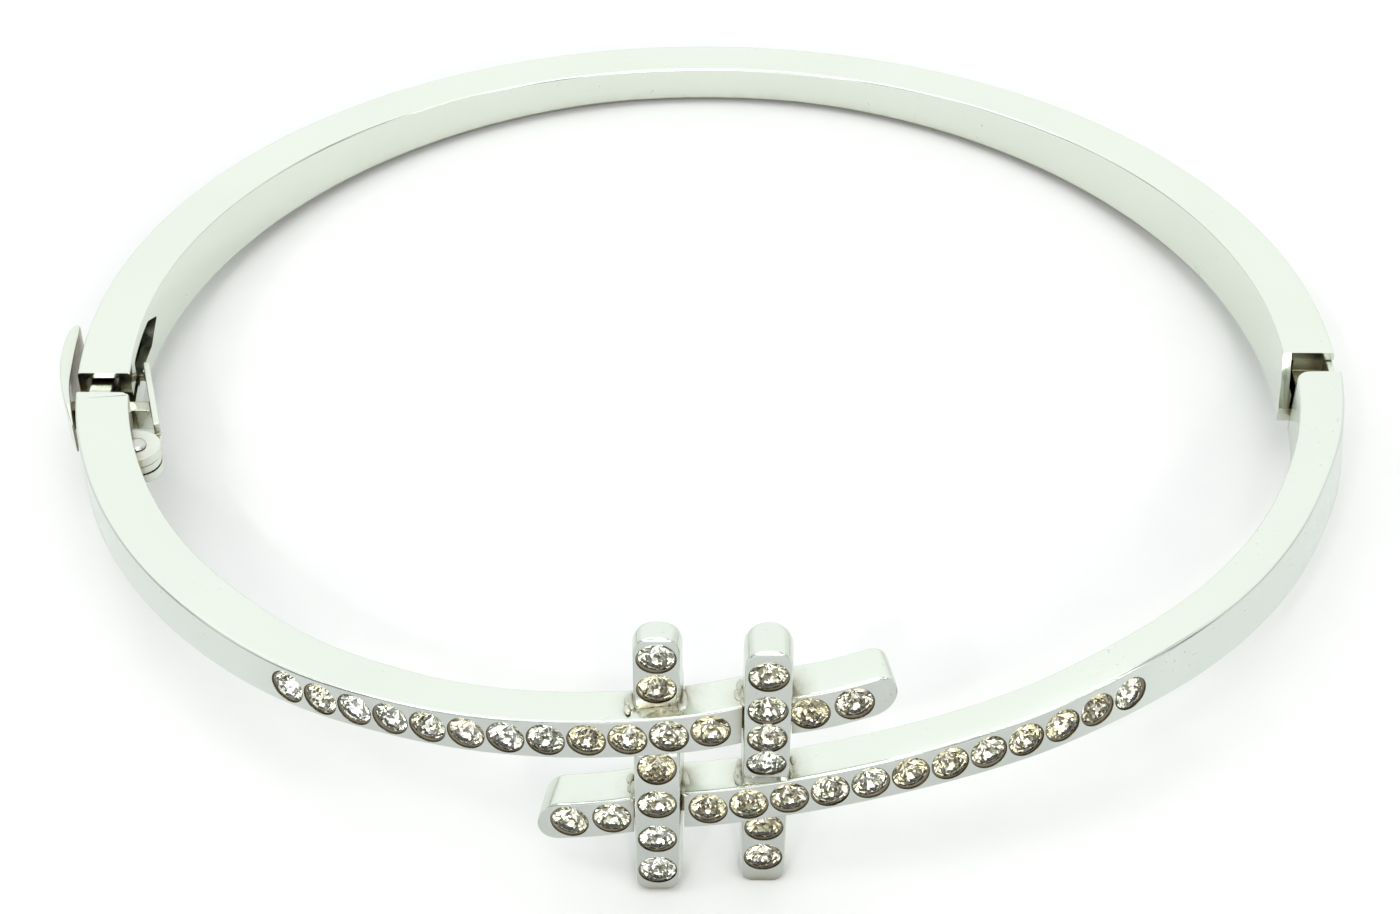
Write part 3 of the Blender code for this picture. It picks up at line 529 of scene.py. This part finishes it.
def crossing_cuts():
    out = {"upper": [], "lower": [], "left": [], "right": []}
    for strand_side in ("upper", "lower"):
        mirror = 1 if strand_side == "upper" else -1
        for bar_side in ("left", "right"):
            x0 = BAR_X[bar_side]
            z0 = mirror * rise(x0 * mirror)
            slope = (rise((x0 + 0.5) * mirror) - rise((x0 - 0.5) * mirror)) * mirror
            strand_front = front_y(x0) - strand_offset(strand_side, x0)
            bar_front, bar_rear = front_y(x0) - keyed(BAR_FACE[bar_side], z0), front_y(x0) - keyed(BAR_BACK[bar_side], z0)
            over = (strand_side, bar_side) in (("upper", "left"), ("lower", "right"))
            plane = (strand_front + STRAND_THICK + bar_front) / 2 if over else (bar_rear + strand_front) / 2
            g = 0.006
            half_h = STRAND_HEIGHT / 2 + 0.012
            w_left, w_right = (BAR_WIDTH / 2 + d + 0.012 for d in BAR_DRAFT[bar_side])
            y_in, y_out = plane + 4.0, plane - 4.0
            strand_y = (plane - g, y_in) if over else (y_out, plane + g)
            bar_y = (y_out, plane + g) if over else (plane - g, y_in)
            bm = bmesh.new()
            box(bm, x0 - w_left, x0 + w_right, *strand_y, z0 - 1.9, z0 + 1.9)
            out[strand_side].append(made("cut_%s_%s_s" % (strand_side, bar_side), bm))
            bm = bmesh.new()
            w = 1.8
            loft(bm, [[mm(x0 - w, y, z0 - slope * w - half_h), mm(x0 + w, y, z0 + slope * w - half_h),
                       mm(x0 + w, y, z0 + slope * w + half_h), mm(x0 - w, y, z0 - slope * w + half_h)] for y in bar_y])
            out[bar_side].append(made("cut_%s_%s_b" % (strand_side, bar_side), bm))
    return out


# ---- crystals -----------------------------------------------------------------
def stone_axes(point, normal, tilt):
    up = Vector((0, 0, 1))
    axis = (normal * math.cos(tilt) + up * math.sin(tilt)).normalized()
    side = up.cross(axis).normalized()
    return point, axis, side, axis.cross(side)


def turned(bm, frame_, profile, sides, twist=0.0):
    centre, axis, u, v = frame_
    rings = []
    for h, r in profile:
        if r == 0:
            rings.append([bm.verts.new(mm(*(centre + axis * h)))])
            continue
        rings.append([bm.verts.new(mm(*(centre + axis * h + u * (r * math.cos(twist + 2 * math.pi * i / sides))
                                        + v * (r * math.sin(twist + 2 * math.pi * i / sides))))) for i in range(sides)])
    for a, b in zip(rings, rings[1:]):
        for i in range(sides):
            j = (i + 1) % sides
            if len(a) == 1:
                bm.faces.new((a[0], b[j], b[i]))
            elif len(b) == 1:
                bm.faces.new((a[i], a[j], b[0]))
            else:
                bm.faces.new((a[i], a[j], b[j], b[i]))
    if len(rings[0]) > 1:
        bm.faces.new(list(reversed(rings[0])))
    if len(rings[-1]) > 1:
        bm.faces.new(rings[-1])


def stone_xs(side):
    mirror = 1 if side == "upper" else -1
    xs = [0.08] if side == "upper" else [0.0]
    for _ in range(11):
        x = xs[-1]
        a = face_point(side, x)
        lo, hi = x, x - mirror * STONE_PITCH * 1.3
        for _ in range(40):
            mid = (lo + hi) / 2
            if (face_point(side, mid) - a).length < STONE_PITCH:
                lo = mid
            else:
                hi = mid
        xs.append((lo + hi) / 2)
    return xs[::-1] + ([4.25, 6.10] if side == "upper" else [-4.20, -6.06])


def stone_frames():
    frames = {}
    for side in ("upper", "lower"):
        out = []
        for x in stone_xs(side):
            height, thick, draft, z, n = strand_frame(side, x)
            t = (face_point(side, x + 0.05) - face_point(side, x - 0.05)).normalized()
            n = Vector((t.y, -t.x, 0)).normalized()
            if n.y > 0:
                n = -n
            out.append(stone_axes(face_point(side, x), n, math.atan2(draft, height)))
        frames[side] = out
    for side in ("left", "right"):
        out = []
        for z in BAR_STONES[side]:
            x0 = BAR_X[side]
            dd = (keyed(BAR_FACE[side], z + 0.05) - keyed(BAR_FACE[side], z - 0.05)) / 0.1
            out.append(stone_axes(Vector((x0, front_y(x0) - keyed(BAR_FACE[side], z), z)), Vector((0, -1, 0)), math.atan2(-dd, 1.0)))
        frames[side] = out
    return frames


def seat_cuts(name, frames):
    out = []
    for k in (0, 1):
        bm = bmesh.new()
        for f in frames[k::2]:
            turned(bm, f, [(0.8, SEAT_R), (-0.36, SEAT_R), (-1.06, 0.16)], 40)
        out.append(made("%s_%d" % (name, k + 1), bm))
    return out


def brilliant(name, frame_, turn, lean, sink):
    """Round stone with a full crown and pavilion: slot 0 the clear crown, slot 1 the foiled back."""
    centre, axis, u, v = frame_
    axis = (axis + u * lean[0] + v * lean[1]).normalized()
    u = (u - axis * u.dot(axis)).normalized()
    v = axis.cross(u)
    rt, rk, rg, rm = 0.44, 0.63, STONE_R, 0.30
    ht, hg, hl, hc = 0.13 - sink, -0.11 - sink, -0.14 - sink, -0.86 - sink
    c = math.cos(math.pi / 8)
    slope = (ht - hg) / (rg - rt)
    hk = ht - (rk * c - rt) * slope
    hm = hc + rm * c * (hl - hc) / rg
    bm = bmesh.new()

    def point(r, a, h):
        a = a + turn
        return bm.verts.new(mm(*(centre + axis * h + u * (r * math.cos(a)) + v * (r * math.sin(a)))))

    step = math.pi / 4
    table = [point(rt, (i + 0.5) * step, ht) for i in range(8)]
    kite = [point(rk, i * step, hk) for i in range(8)]
    girdle = [point(rg, j * step / 2, hg) for j in range(16)]
    lower = [point(rg, j * step / 2, hl) for j in range(16)]
    mid = [point(rm, i * step, hm) for i in range(8)]
    culet = bm.verts.new(mm(*(centre + axis * hc)))
    faces = [(bm.faces.new(table), 0)]
    for i in range(8):
        j = (i + 1) % 8
        g0, g1, g2 = girdle[(2 * i - 1) % 16], girdle[2 * i], girdle[(2 * i + 1) % 16]
        faces += [(bm.faces.new((table[i - 1], table[i], kite[i])), 0),
                  (bm.faces.new((table[i], kite[i], g2, kite[j])), 0),
                  (bm.faces.new((kite[i], g0, g1)), 0), (bm.faces.new((kite[i], g1, g2)), 0)]
        l0, l1, l2 = lower[(2 * i - 1) % 16], lower[2 * i], lower[(2 * i + 1) % 16]
        faces += [(bm.faces.new((mid[i], l0, l1)), 1), (bm.faces.new((mid[i], l1, l2)), 1),
                  (bm.faces.new((culet, mid[i], l2, mid[j])), 1)]
    for k in range(16):
        faces.append((bm.faces.new((girdle[k], girdle[(k + 1) % 16], lower[(k + 1) % 16], lower[k])), 1))
    for face, index in faces:
        face.material_index = index
        face.smooth = False
    return made(name, bm)


def cement(name, frames):
    """Dark setting cement that fills each seat round its stone, just below the face."""
    bm = bmesh.new()
    sides = 40
    outer, inner = SEAT_R - 0.004, STONE_R - 0.06
    for centre, axis, u, v in frames:
        rings = []
        for h, r in ((-0.10, outer), (-0.125, (outer + inner) / 2), (-0.13, inner), (-0.34, inner), (-0.34, outer)):
            rings.append([bm.verts.new(mm(*(centre + axis * h + u * (r * math.cos(2 * math.pi * i / sides))
                                            + v * (r * math.sin(2 * math.pi * i / sides))))) for i in range(sides)])
        for a, b in zip(rings, rings[1:] + rings[:1]):
            for i in range(sides):
                j = (i + 1) % sides
                bm.faces.new((a[i], a[j], b[j], b[i]))
    return made(name, bm)


# ---- small cast pieces --------------------------------------------------------
def softened(name, node, voxel=0.04, rounds=5):
    """Cast version of a machined node: the same solid with its edges rounded over."""
    src = NODES[node]
    graph = bpy.context.evaluated_depsgraph_get()
    mesh = bpy.data.meshes.new_from_object(src.evaluated_get(graph))
    mesh.transform(src.matrix_world)
    mesh.name = name
    obj = bpy.data.objects.new(name, mesh)
    bpy.context.scene.collection.objects.link(obj)
    mod = obj.modifiers.new("remesh", "REMESH")
    mod.mode = "VOXEL"
    mod.voxel_size = voxel * MM
    mod.use_smooth_shade = True
    mod = obj.modifiers.new("soften", "SMOOTH")
    mod.factor = 0.6
    mod.iterations = rounds
    bpy.context.view_layer.update()
    graph = bpy.context.evaluated_depsgraph_get()
    baked = bpy.data.meshes.new_from_object(obj.evaluated_get(graph))
    obj.modifiers.clear()
    obj.data = baked
    bpy.data.meshes.remove(mesh)
    return obj


def lathe(name, cx, cy, profile, sides=48):
    bm = bmesh.new()
    loft(bm, [[mm(x, y, z) for x, y in circle(cx, cy, r, sides)] for z, r in profile])
    return made(name, bm)


def thumb_leaf():
    outer = [(-31.16, -5.90), (-31.52, -5.1), (-31.94, -4.0), (-32.30, -2.8), (-32.56, -1.6), (-32.68, -0.4),
             (-32.69, 0.6), (-32.62, 1.3), (-32.44, 1.72), (-32.30, 1.80)]
    inner = [(-31.08, -5.85), (-31.27, -5.1), (-31.46, -4.4), (-31.62, -3.8), (-31.78, -3.0), (-31.88, -2.0),
             (-31.96, -1.0), (-32.02, 0.0), (-32.06, 0.9), (-32.14, 1.62)]

    def spline(points, count):
        dense = []
        pts = [points[0]] + points + [points[-1]]
        for i in range(1, len(pts) - 2):
            for k in range(20):
                t = k / 20
                dense.append(tuple(0.5 * (2 * b + (c - a) * t + (2 * a - 5 * b + 4 * c - d) * t * t + (3 * b - a - 3 * c + d) * t ** 3)
                                   for a, b, c, d in zip(pts[i - 1], pts[i], pts[i + 1], pts[i + 2])))
        dense.append(points[-1])
        return path_by_arc(dense, count)

    count = 60
    bm = bmesh.new()
    rings = []
    for i, (o, p) in enumerate(zip(spline(outer, count), spline(inner, count))):
        s = i / (count - 1)
        half = 1.20 * min(1.0, 0.72 + 1.6 * s) * (1 - 0.10 * max(0.0, (s - 0.85) / 0.15) ** 2)
        d = Vector((o[0] - p[0], o[1] - p[1], 0))
        w = d.length
        d.normalize()
        ring = fillet([(w, half), (0.0, half), (0.0, -half), (w, -half)], [0.16, 0.08, 0.08, 0.16], 5)
        rings.append([mm(p[0] + d.x * u, p[1] + d.y * u, v + 0.075) for u, v in ring])
    loft(bm, rings)
    return made("thumb_leaf_casting", bm)


def solder(name, spots):
    """Rough lumps of solder left where the bars meet the strands."""
    bm = bmesh.new()
    for k, (x, y, z, rx, ry, rz) in enumerate(spots):
        piece = bmesh.ops.create_icosphere(bm, subdivisions=4 if rx > 0.19 else 3, radius=1.0)
        local = random.Random(100 + k)
        waves = [(local.uniform(2, 5), local.uniform(2, 5), local.uniform(2, 5), local.uniform(0, 6)) for _ in range(5)]
        for vert in piece["verts"]:
            q = vert.co
            d = sum(math.sin(a * q.x + b * q.y + c * q.z + e) for a, b, c, e in waves) / 5
            q = q * (1 + 0.28 * d)
            vert.co = mm(x + q.x * rx, y + q.y * ry, z + q.z * rz)
    bmesh.ops.recalc_face_normals(bm, faces=bm.faces)
    mesh = bpy.data.meshes.new(name)
    bm.to_mesh(mesh)
    bm.free()
    obj = bpy.data.objects.new(name, mesh)
    bpy.context.scene.collection.objects.link(obj)
    return obj


# ---- materials ----------------------------------------------------------------
BAND = plate("plate_band", (0.72, 0.765, 0.685), 0.15, 0.8, 0.75, 0.0)
ARM = plate("plate_arm", (0.72, 0.765, 0.69), 0.17, 1.3, 0.80, 0.013)
BAR = plate("plate_bar", (0.70, 0.745, 0.67), 0.17, 1.0, 0.85, 0.027)
# a darker copy of the plate for the outward-facing faces set below: painted shade, darker still along the stone-set
# stretch
SET_FACE = plate("plate_set_face", (0.645, 0.695, 0.65), 0.19, 1.3, 0.85, 0.067, stretch_shade=(0.53, 0.555, 0.525))
SMALL = plate("plate_small", (0.71, 0.75, 0.67), 0.20, 1.0, 0.8, 0.041)
ROUGH = plate("plate_solder", (0.61, 0.64, 0.56), 0.30, 1.6, 0.75, 0.055, relief=3.0)


def steel(name):
    t = Tree(name)
    t.value("Metallic", 1.0)
    c = t.coords()
    stretch = t.add("ShaderNodeMapping")
    stretch.inputs["Scale"].default_value = (1.0, 1.0, 0.12)
    t.link(c, stretch.inputs["Vector"])
    lines = t.noise(stretch.outputs["Vector"], 5200.0, 3.0, 0.6)
    t.link(t.mix(lines, (0.50, 0.50, 0.47), (0.64, 0.64, 0.61)), t.shader.inputs["Base Color"])
    t.link(t.map(lines, 0.3, 0.7, 0.20, 0.34), t.shader.inputs["Roughness"])
    t.bump(lines, 0.3, 0.00001)
    return t.mat


def crown_glass():
    t = Tree("crystal_crown")
    t.value("Transmission Weight", 1.0)
    t.value("IOR", 1.56)
    c = t.coords()
    haze = t.noise(c, 900.0, 2.0)
    t.link(t.mix(haze, (0.995, 0.99, 0.96), (1.0, 1.0, 0.985)), t.shader.inputs["Base Color"])
    t.link(t.map(t.noise(c, 2600.0, 2.0), 0.64, 0.80, 0.0, 0.05), t.shader.inputs["Roughness"])
    return t.mat


def foil(name, a, b, film):
    t = Tree(name)
    t.value("Metallic", 1.0)
    t.value("Thin Film Thickness", film)
    t.value("Thin Film IOR", 1.38)
    c = t.coords()
    patch = t.noise(c, 700.0, 1.0, 0.5)
    t.link(t.mix(t.map(patch, 0.35, 0.65, 0.2, 1.0), a, b), t.shader.inputs["Base Color"])
    t.link(t.map(patch, 0.3, 0.7, 0.02, 0.07), t.shader.inputs["Roughness"])
    return t.mat


def cement_stuff():
    t = Tree("setting_cement")
    c = t.coords()
    grain = t.noise(c, 2400.0, 4.0, 0.6)
    t.link(t.mix(grain, (0.10, 0.085, 0.055), (0.24, 0.21, 0.15)), t.shader.inputs["Base Color"])
    t.link(t.map(grain, 0.3, 0.7, 0.25, 0.55), t.shader.inputs["Roughness"])
    t.bump(grain, 0.5, 0.00004)
    return t.mat


STEEL = steel("pin_steel_drawn")
CROWN = crown_glass()
FOILS = [foil("crystal_foil_%d" % i, a, b, film) for i, (a, b, film) in enumerate((
    ((0.90, 0.89, 0.76), (0.98, 0.98, 0.88), 0.0),
    ((0.86, 0.82, 0.64), (0.97, 0.95, 0.80), 0.0),
    ((0.90, 0.92, 0.84), (0.98, 0.99, 0.94), 0.0),
    ((0.90, 0.87, 0.74), (0.98, 0.96, 0.86), 420.0)))]
CEMENT = cement_stuff()

# ---- assembly -----------------------------------------------------------------
dress(back_casting(), BAND, "back_half", ("back_band",))
cross = crossing_cuts()
frames = stone_frames()
cx, cy = LEVER_AXIS
notch = bmesh.new()
box(notch, -29.27, -26.0, cy - LUG_R - 0.05, cy + LUG_R + 0.05, -0.80, 1.00)
notch = made("cut_notch", notch)
dress(strand_casting("upper_strand_casting", "upper", CLASP_FRONT_Y, UPPER_TIP_X,
                     cross["upper"] + [notch] + seat_cuts("cut_us", frames["upper"])), ARM, "front_half", ("upper_strand",))
dress(strand_casting("lower_strand_casting", "lower", HINGE_FRONT_Y, LOWER_TIP_X,
                     cross["lower"] + seat_cuts("cut_ls", frames["lower"])), ARM, "front_half", ("lower_strand",))
for side in ("left", "right"):
    dress(bar_casting(side + "_bar_casting", side, cross[side] + seat_cuts("cut_%s" % side, frames[side])),
          BAR, "front_half", (side + "_cross_bar",))
# painted shade: faces turned outward take the darker set-face plate as slot 1
for label in ("upper_strand_casting", "lower_strand_casting", "left_bar_casting", "right_bar_casting"):
    mesh = bpy.data.objects[label].data
    mesh.materials.append(SET_FACE)
    for face in mesh.polygons:
        away = Vector((0.0, -1.0, 0.0)) if "bar" in label else Vector((face.center.x, face.center.y, 0.0)).normalized()
        if face.normal.dot(away) > 0.80:
            face.material_index = 1

for side, label in (("upper", "upper_stone"), ("lower", "lower_stone"), ("left", "left_bar_stone"), ("right", "right_bar_stone")):
    glue = cement(side + "_setting_cement", frames[side])
    dress(glue, CEMENT, "front_half", (), 0)
    for i, f in enumerate(frames[side]):
        lean = (rng.uniform(-0.07, 0.07), rng.uniform(-0.07, 0.07))
        stone = brilliant("%s_cut_%02d" % (label, i + 1), f, rng.uniform(0, math.pi), lean, rng.uniform(0.0, 0.05))
        stone.data.materials.append(CROWN)
        stone.data.materials.append(FOILS[rng.choice((0, 0, 1, 1, 2, 3))])
        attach(stone, "front_half")
        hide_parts("%s_%02d" % (label, i + 1))

dress(softened("hinge_knuckle_casting", "hinge_knuckle", 0.035, 5), SMALL, "front_half", ("hinge_knuckle",), 0)
dress(softened("clasp_tongue_casting", "clasp_tongue", 0.03, 5), SMALL, "front_half", ("clasp_tongue",), 0)
dress(softened("lever_bracket_casting", "lever_bracket", 0.025, 5), SMALL, "front_half", ("lever_bracket",), 0)
dress(softened("clasp_lever_casting", "clasp_lever", 0.03, 5), SMALL, "lever", ("clasp_lever",), 0)
dress(thumb_leaf(), SMALL, "lever", ("thumb_leaf",), 50)
dress(lathe("hinge_pin_riveted", *HINGE_AXIS, [(-1.67, 0.30), (-1.63, 0.38), (-1.58, 0.40), (1.40, 0.40), (1.45, 0.38), (1.48, 0.30)]),
      STEEL, "back_half", ("hinge_pin",), 50)
dress(lathe("lever_pin_headed", *LEVER_AXIS, [(-0.74, 0.26), (-0.70, 0.33), (0.77, 0.33), (0.77, 0.45), (0.79, 0.48), (0.84, 0.465),
                                              (0.89, 0.38), (0.92, 0.24), (0.93, 0.08)]),
      STEEL, "front_half", ("lever_pin",), 50)
NODES["lever_spring"].data.materials.clear()
NODES["lever_spring"].data.materials.append(STEEL)
NODES["lever_spring"].data.shade_smooth()

lx, rx = BAR_X["left"], BAR_X["right"]
fl, fr = front_y(lx), front_y(rx)
crumbs = []
for label, x0, f, left_z, right_z in (("ul", lx, fl, 2.00, 2.12), ("ll", lx, fl, -3.05, -2.70), ("ur", rx, fr, 2.76, 3.10), ("lr", rx, fr, -2.15, -1.80)):
    for sign, z0 in ((-1, left_z), (1, right_z)):
        for _ in range(5):
            off = rng.uniform(0.96, 1.22)
            size = rng.uniform(0.10, 0.17)
            slope = 0.17 if label[0] == "u" else 0.20
            crumbs.append((x0 + sign * off, f + rng.uniform(0.35, 1.5), z0 + 1.00 + sign * slope * (off - 1.0), size * rng.uniform(0.9, 1.4), size * rng.uniform(1.4, 3.0), size * 0.42))
dress(solder("solder_spots", crumbs + [
    (lx + 1.10, fl + 1.0, 2.15 + 0.98, 0.30, 0.75, 0.22), (lx - 1.02, fl + 1.1, 2.0 + 0.86, 0.22, 0.6, 0.14),
    (lx + 1.15, fl + 0.9, -2.75 + 1.0, 0.40, 0.8, 0.20), (lx - 1.0, fl + 0.8, -3.1 + 0.92, 0.25, 0.6, 0.16),
    (rx - 1.02, fr + 0.9, 2.72 + 0.94, 0.20, 0.6, 0.14), (rx + 1.02, fr + 0.9, 3.15 + 0.92, 0.20, 0.6, 0.14),
    (rx - 1.02, fr + 0.9, -2.2 + 0.95, 0.28, 0.7, 0.16), (rx + 1.02, fr + 0.9, -1.75 + 0.92, 0.18, 0.5, 0.12)]),
      ROUGH, "front_half", (), 0)

# ---- floor, light, camera -----------------------------------------------------
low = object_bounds()[0]
front_foot = mm(0, front_y(0) - 0.2, BAR_ENDS["right"][0])
back_foot = mm(0, BACK_DEPTH, END_HEIGHT / 2 - BACK_HEIGHT)
tilt = math.atan2(back_foot.z - front_foot.z, back_foot.y - front_foot.y)
bm = bmesh.new()
bmesh.ops.create_grid(bm, x_segments=2, y_segments=2, size=1.6)
floor_mesh = bpy.data.meshes.new("floor")
bm.to_mesh(floor_mesh)
bm.free()
floor = bpy.data.objects.new("floor", floor_mesh)
bpy.context.scene.collection.objects.link(floor)
floor.rotation_euler = (tilt, 0, 0)
floor.location = (0.0, front_foot.y, front_foot.z - 0.00002)
t = Tree("floor_paper")
grain = t.noise(t.coords(), 350.0, 3.0)
t.link(t.mix(grain, (0.735, 0.74, 0.735), (0.765, 0.77, 0.765)), t.shader.inputs["Base Color"])
t.value("Roughness", 0.9)
t.value("Specular IOR Level", 0.1)
t.value("Emission Color", (1.0, 1.0, 1.0, 1.0))
t.value("Emission Strength", 0.0)
floor_mesh.materials.append(t.mat)

world = bpy.data.worlds.new("studio")
bpy.context.scene.world = world
world.use_nodes = True
wt = world.node_tree
wt.nodes.clear()


def wadd(kind, **values):
    node = wt.nodes.new(kind)
    for key, value in values.items():
        setattr(node, key, value)
    return node


def wmath(op, a, b):
    node = wadd("ShaderNodeMath", operation=op)
    for i, v in enumerate((a, b)):
        if isinstance(v, (int, float)):
            node.inputs[i].default_value = v
        else:
            wt.links.new(v, node.inputs[i])
    return node.outputs["Value"]


coord = wadd("ShaderNodeTexCoord")
normal = wadd("ShaderNodeVectorMath", operation="NORMALIZE")
wt.links.new(coord.outputs["Generated"], normal.inputs[0])


def spot(direction, inner, outer):
    """1 inside inner degrees of a direction, 0 outside outer degrees."""
    d = Vector(direction).normalized()
    dot = wadd("ShaderNodeVectorMath", operation="DOT_PRODUCT")
    wt.links.new(normal.outputs["Vector"], dot.inputs[0])
    dot.inputs[1].default_value = d
    ease = wadd("ShaderNodeMapRange", interpolation_type="SMOOTHSTEP")
    ease.inputs["From Min"].default_value = math.cos(math.radians(outer))
    ease.inputs["From Max"].default_value = math.cos(math.radians(inner))
    wt.links.new(dot.outputs["Value"], ease.inputs["Value"])
    return ease.outputs["Result"]


dark = spot((0.0, -0.66, 0.75), 9.0, 34.0)
low_front = spot((0.0, -1.0, 0.28), 14.0, 40.0)
back_glow = spot((0.0, 0.75, 0.66), 25.0, 75.0)
value = wmath("ADD", 0.72, wmath("MULTIPLY", back_glow, 0.50))
value = wmath("MULTIPLY", value, wmath("SUBTRACT", 1.0, wmath("MULTIPLY", dark, 0.45)))
value = wmath("ADD", value, wmath("MULTIPLY", low_front, 0.85))
value = wmath("ADD", value, wmath("MULTIPLY", spot((0.0, -0.20, 1.0), 10.0, 26.0), 0.75))
# uneven cards and gaps on the near side of the tent
cards = wadd("ShaderNodeTexNoise")
cards.inputs["Scale"].default_value = 3.6
cards.inputs["Detail"].default_value = 0.0
wt.links.new(normal.outputs["Vector"], cards.inputs["Vector"])
gaps = wadd("ShaderNodeMapRange", interpolation_type="SMOOTHSTEP")
gaps.inputs["From Min"].default_value = 0.41
gaps.inputs["From Max"].default_value = 0.49
gaps.inputs["To Min"].default_value = 0.22
gaps.inputs["To Max"].default_value = 1.60
wt.links.new(cards.outputs["Fac"], gaps.inputs["Value"])
near = spot((0.0, -0.80, 0.60), 62.0, 88.0)
value = wmath("MULTIPLY", value, wmath("ADD", wmath("SUBTRACT", 1.0, near), wmath("MULTIPLY", near, gaps.outputs["Result"])))
for direction in ((-0.55, -0.60, 0.62), (0.50, -0.62, 0.66), (0.16, -0.92, 0.36), (-0.18, -0.40, 0.92), (0.10, -0.62, 0.80)):
    value = wmath("ADD", value, wmath("MULTIPLY", spot(direction, 2.5, 6.5), 5.5))
bg = wadd("ShaderNodeBackground")
bg.inputs["Color"].default_value = (0.985, 1.0, 1.0, 1.0)
wt.links.new(value, bg.inputs["Strength"])
wout = wadd("ShaderNodeOutputWorld")
wt.links.new(bg.outputs["Background"], wout.inputs["Surface"])


def area(name, location, target, size, power, colour=(1, 1, 1)):
    data = bpy.data.lights.new(name, "AREA")
    data.shape = "DISK"
    data.size = size
    data.energy = power
    data.color = colour
    obj = bpy.data.objects.new(name, data)
    bpy.context.scene.collection.objects.link(obj)
    obj.location = location
    obj.rotation_euler = (Vector(target) - Vector(location)).to_track_quat("-Z", "Y").to_euler()
    return obj


area("key_left", (-0.32, -0.10, 0.42), (0, 0, 0), 0.10, 0.20, (1.0, 0.985, 0.95))
area("key_right", (0.34, -0.22, 0.34), (0, 0, 0), 0.08, 0.13, (1.0, 0.97, 0.90))
area("spark_a", (0.06, -0.34, 0.16), (0, -0.025, 0), 0.012, 0.12, (1.0, 0.95, 0.82))
area("spark_b", (-0.12, -0.30, 0.26), (0, -0.025, 0), 0.012, 0.12)

ELEVATION, AZIMUTH, ROLL, DISTANCE, FOCAL = 40.84, -0.02, 0.27, 0.1223, 2500.0
TARGET = Vector((0.0, -0.00697, 0.0))
e, a, r = (math.radians(v) for v in (ELEVATION, AZIMUTH, ROLL))
back = Vector((math.sin(a) * math.cos(e), -math.cos(a) * math.cos(e), math.sin(e)))
right = Vector((math.cos(a), math.sin(a), 0.0))
up = back.cross(right)
right2 = right * math.cos(r) + up * math.sin(r)
up2 = up * math.cos(r) - right * math.sin(r)
camera_data = bpy.data.cameras.new("camera")
camera_data.sensor_width = 36.0
camera_data.lens = FOCAL / 1400.0 * 36.0
camera_data.clip_start = 0.002
camera_data.clip_end = 20.0
camera = bpy.data.objects.new("camera", camera_data)
bpy.context.scene.collection.objects.link(camera)
camera.matrix_world = Matrix((
    (right2.x, up2.x, back.x, TARGET.x + back.x * DISTANCE),
    (right2.y, up2.y, back.y, TARGET.y + back.y * DISTANCE),
    (right2.z, up2.z, back.z, TARGET.z + back.z * DISTANCE),
    (0, 0, 0, 1)))
bpy.context.scene.camera = camera
bpy.context.scene.view_settings.view_transform = "Standard"
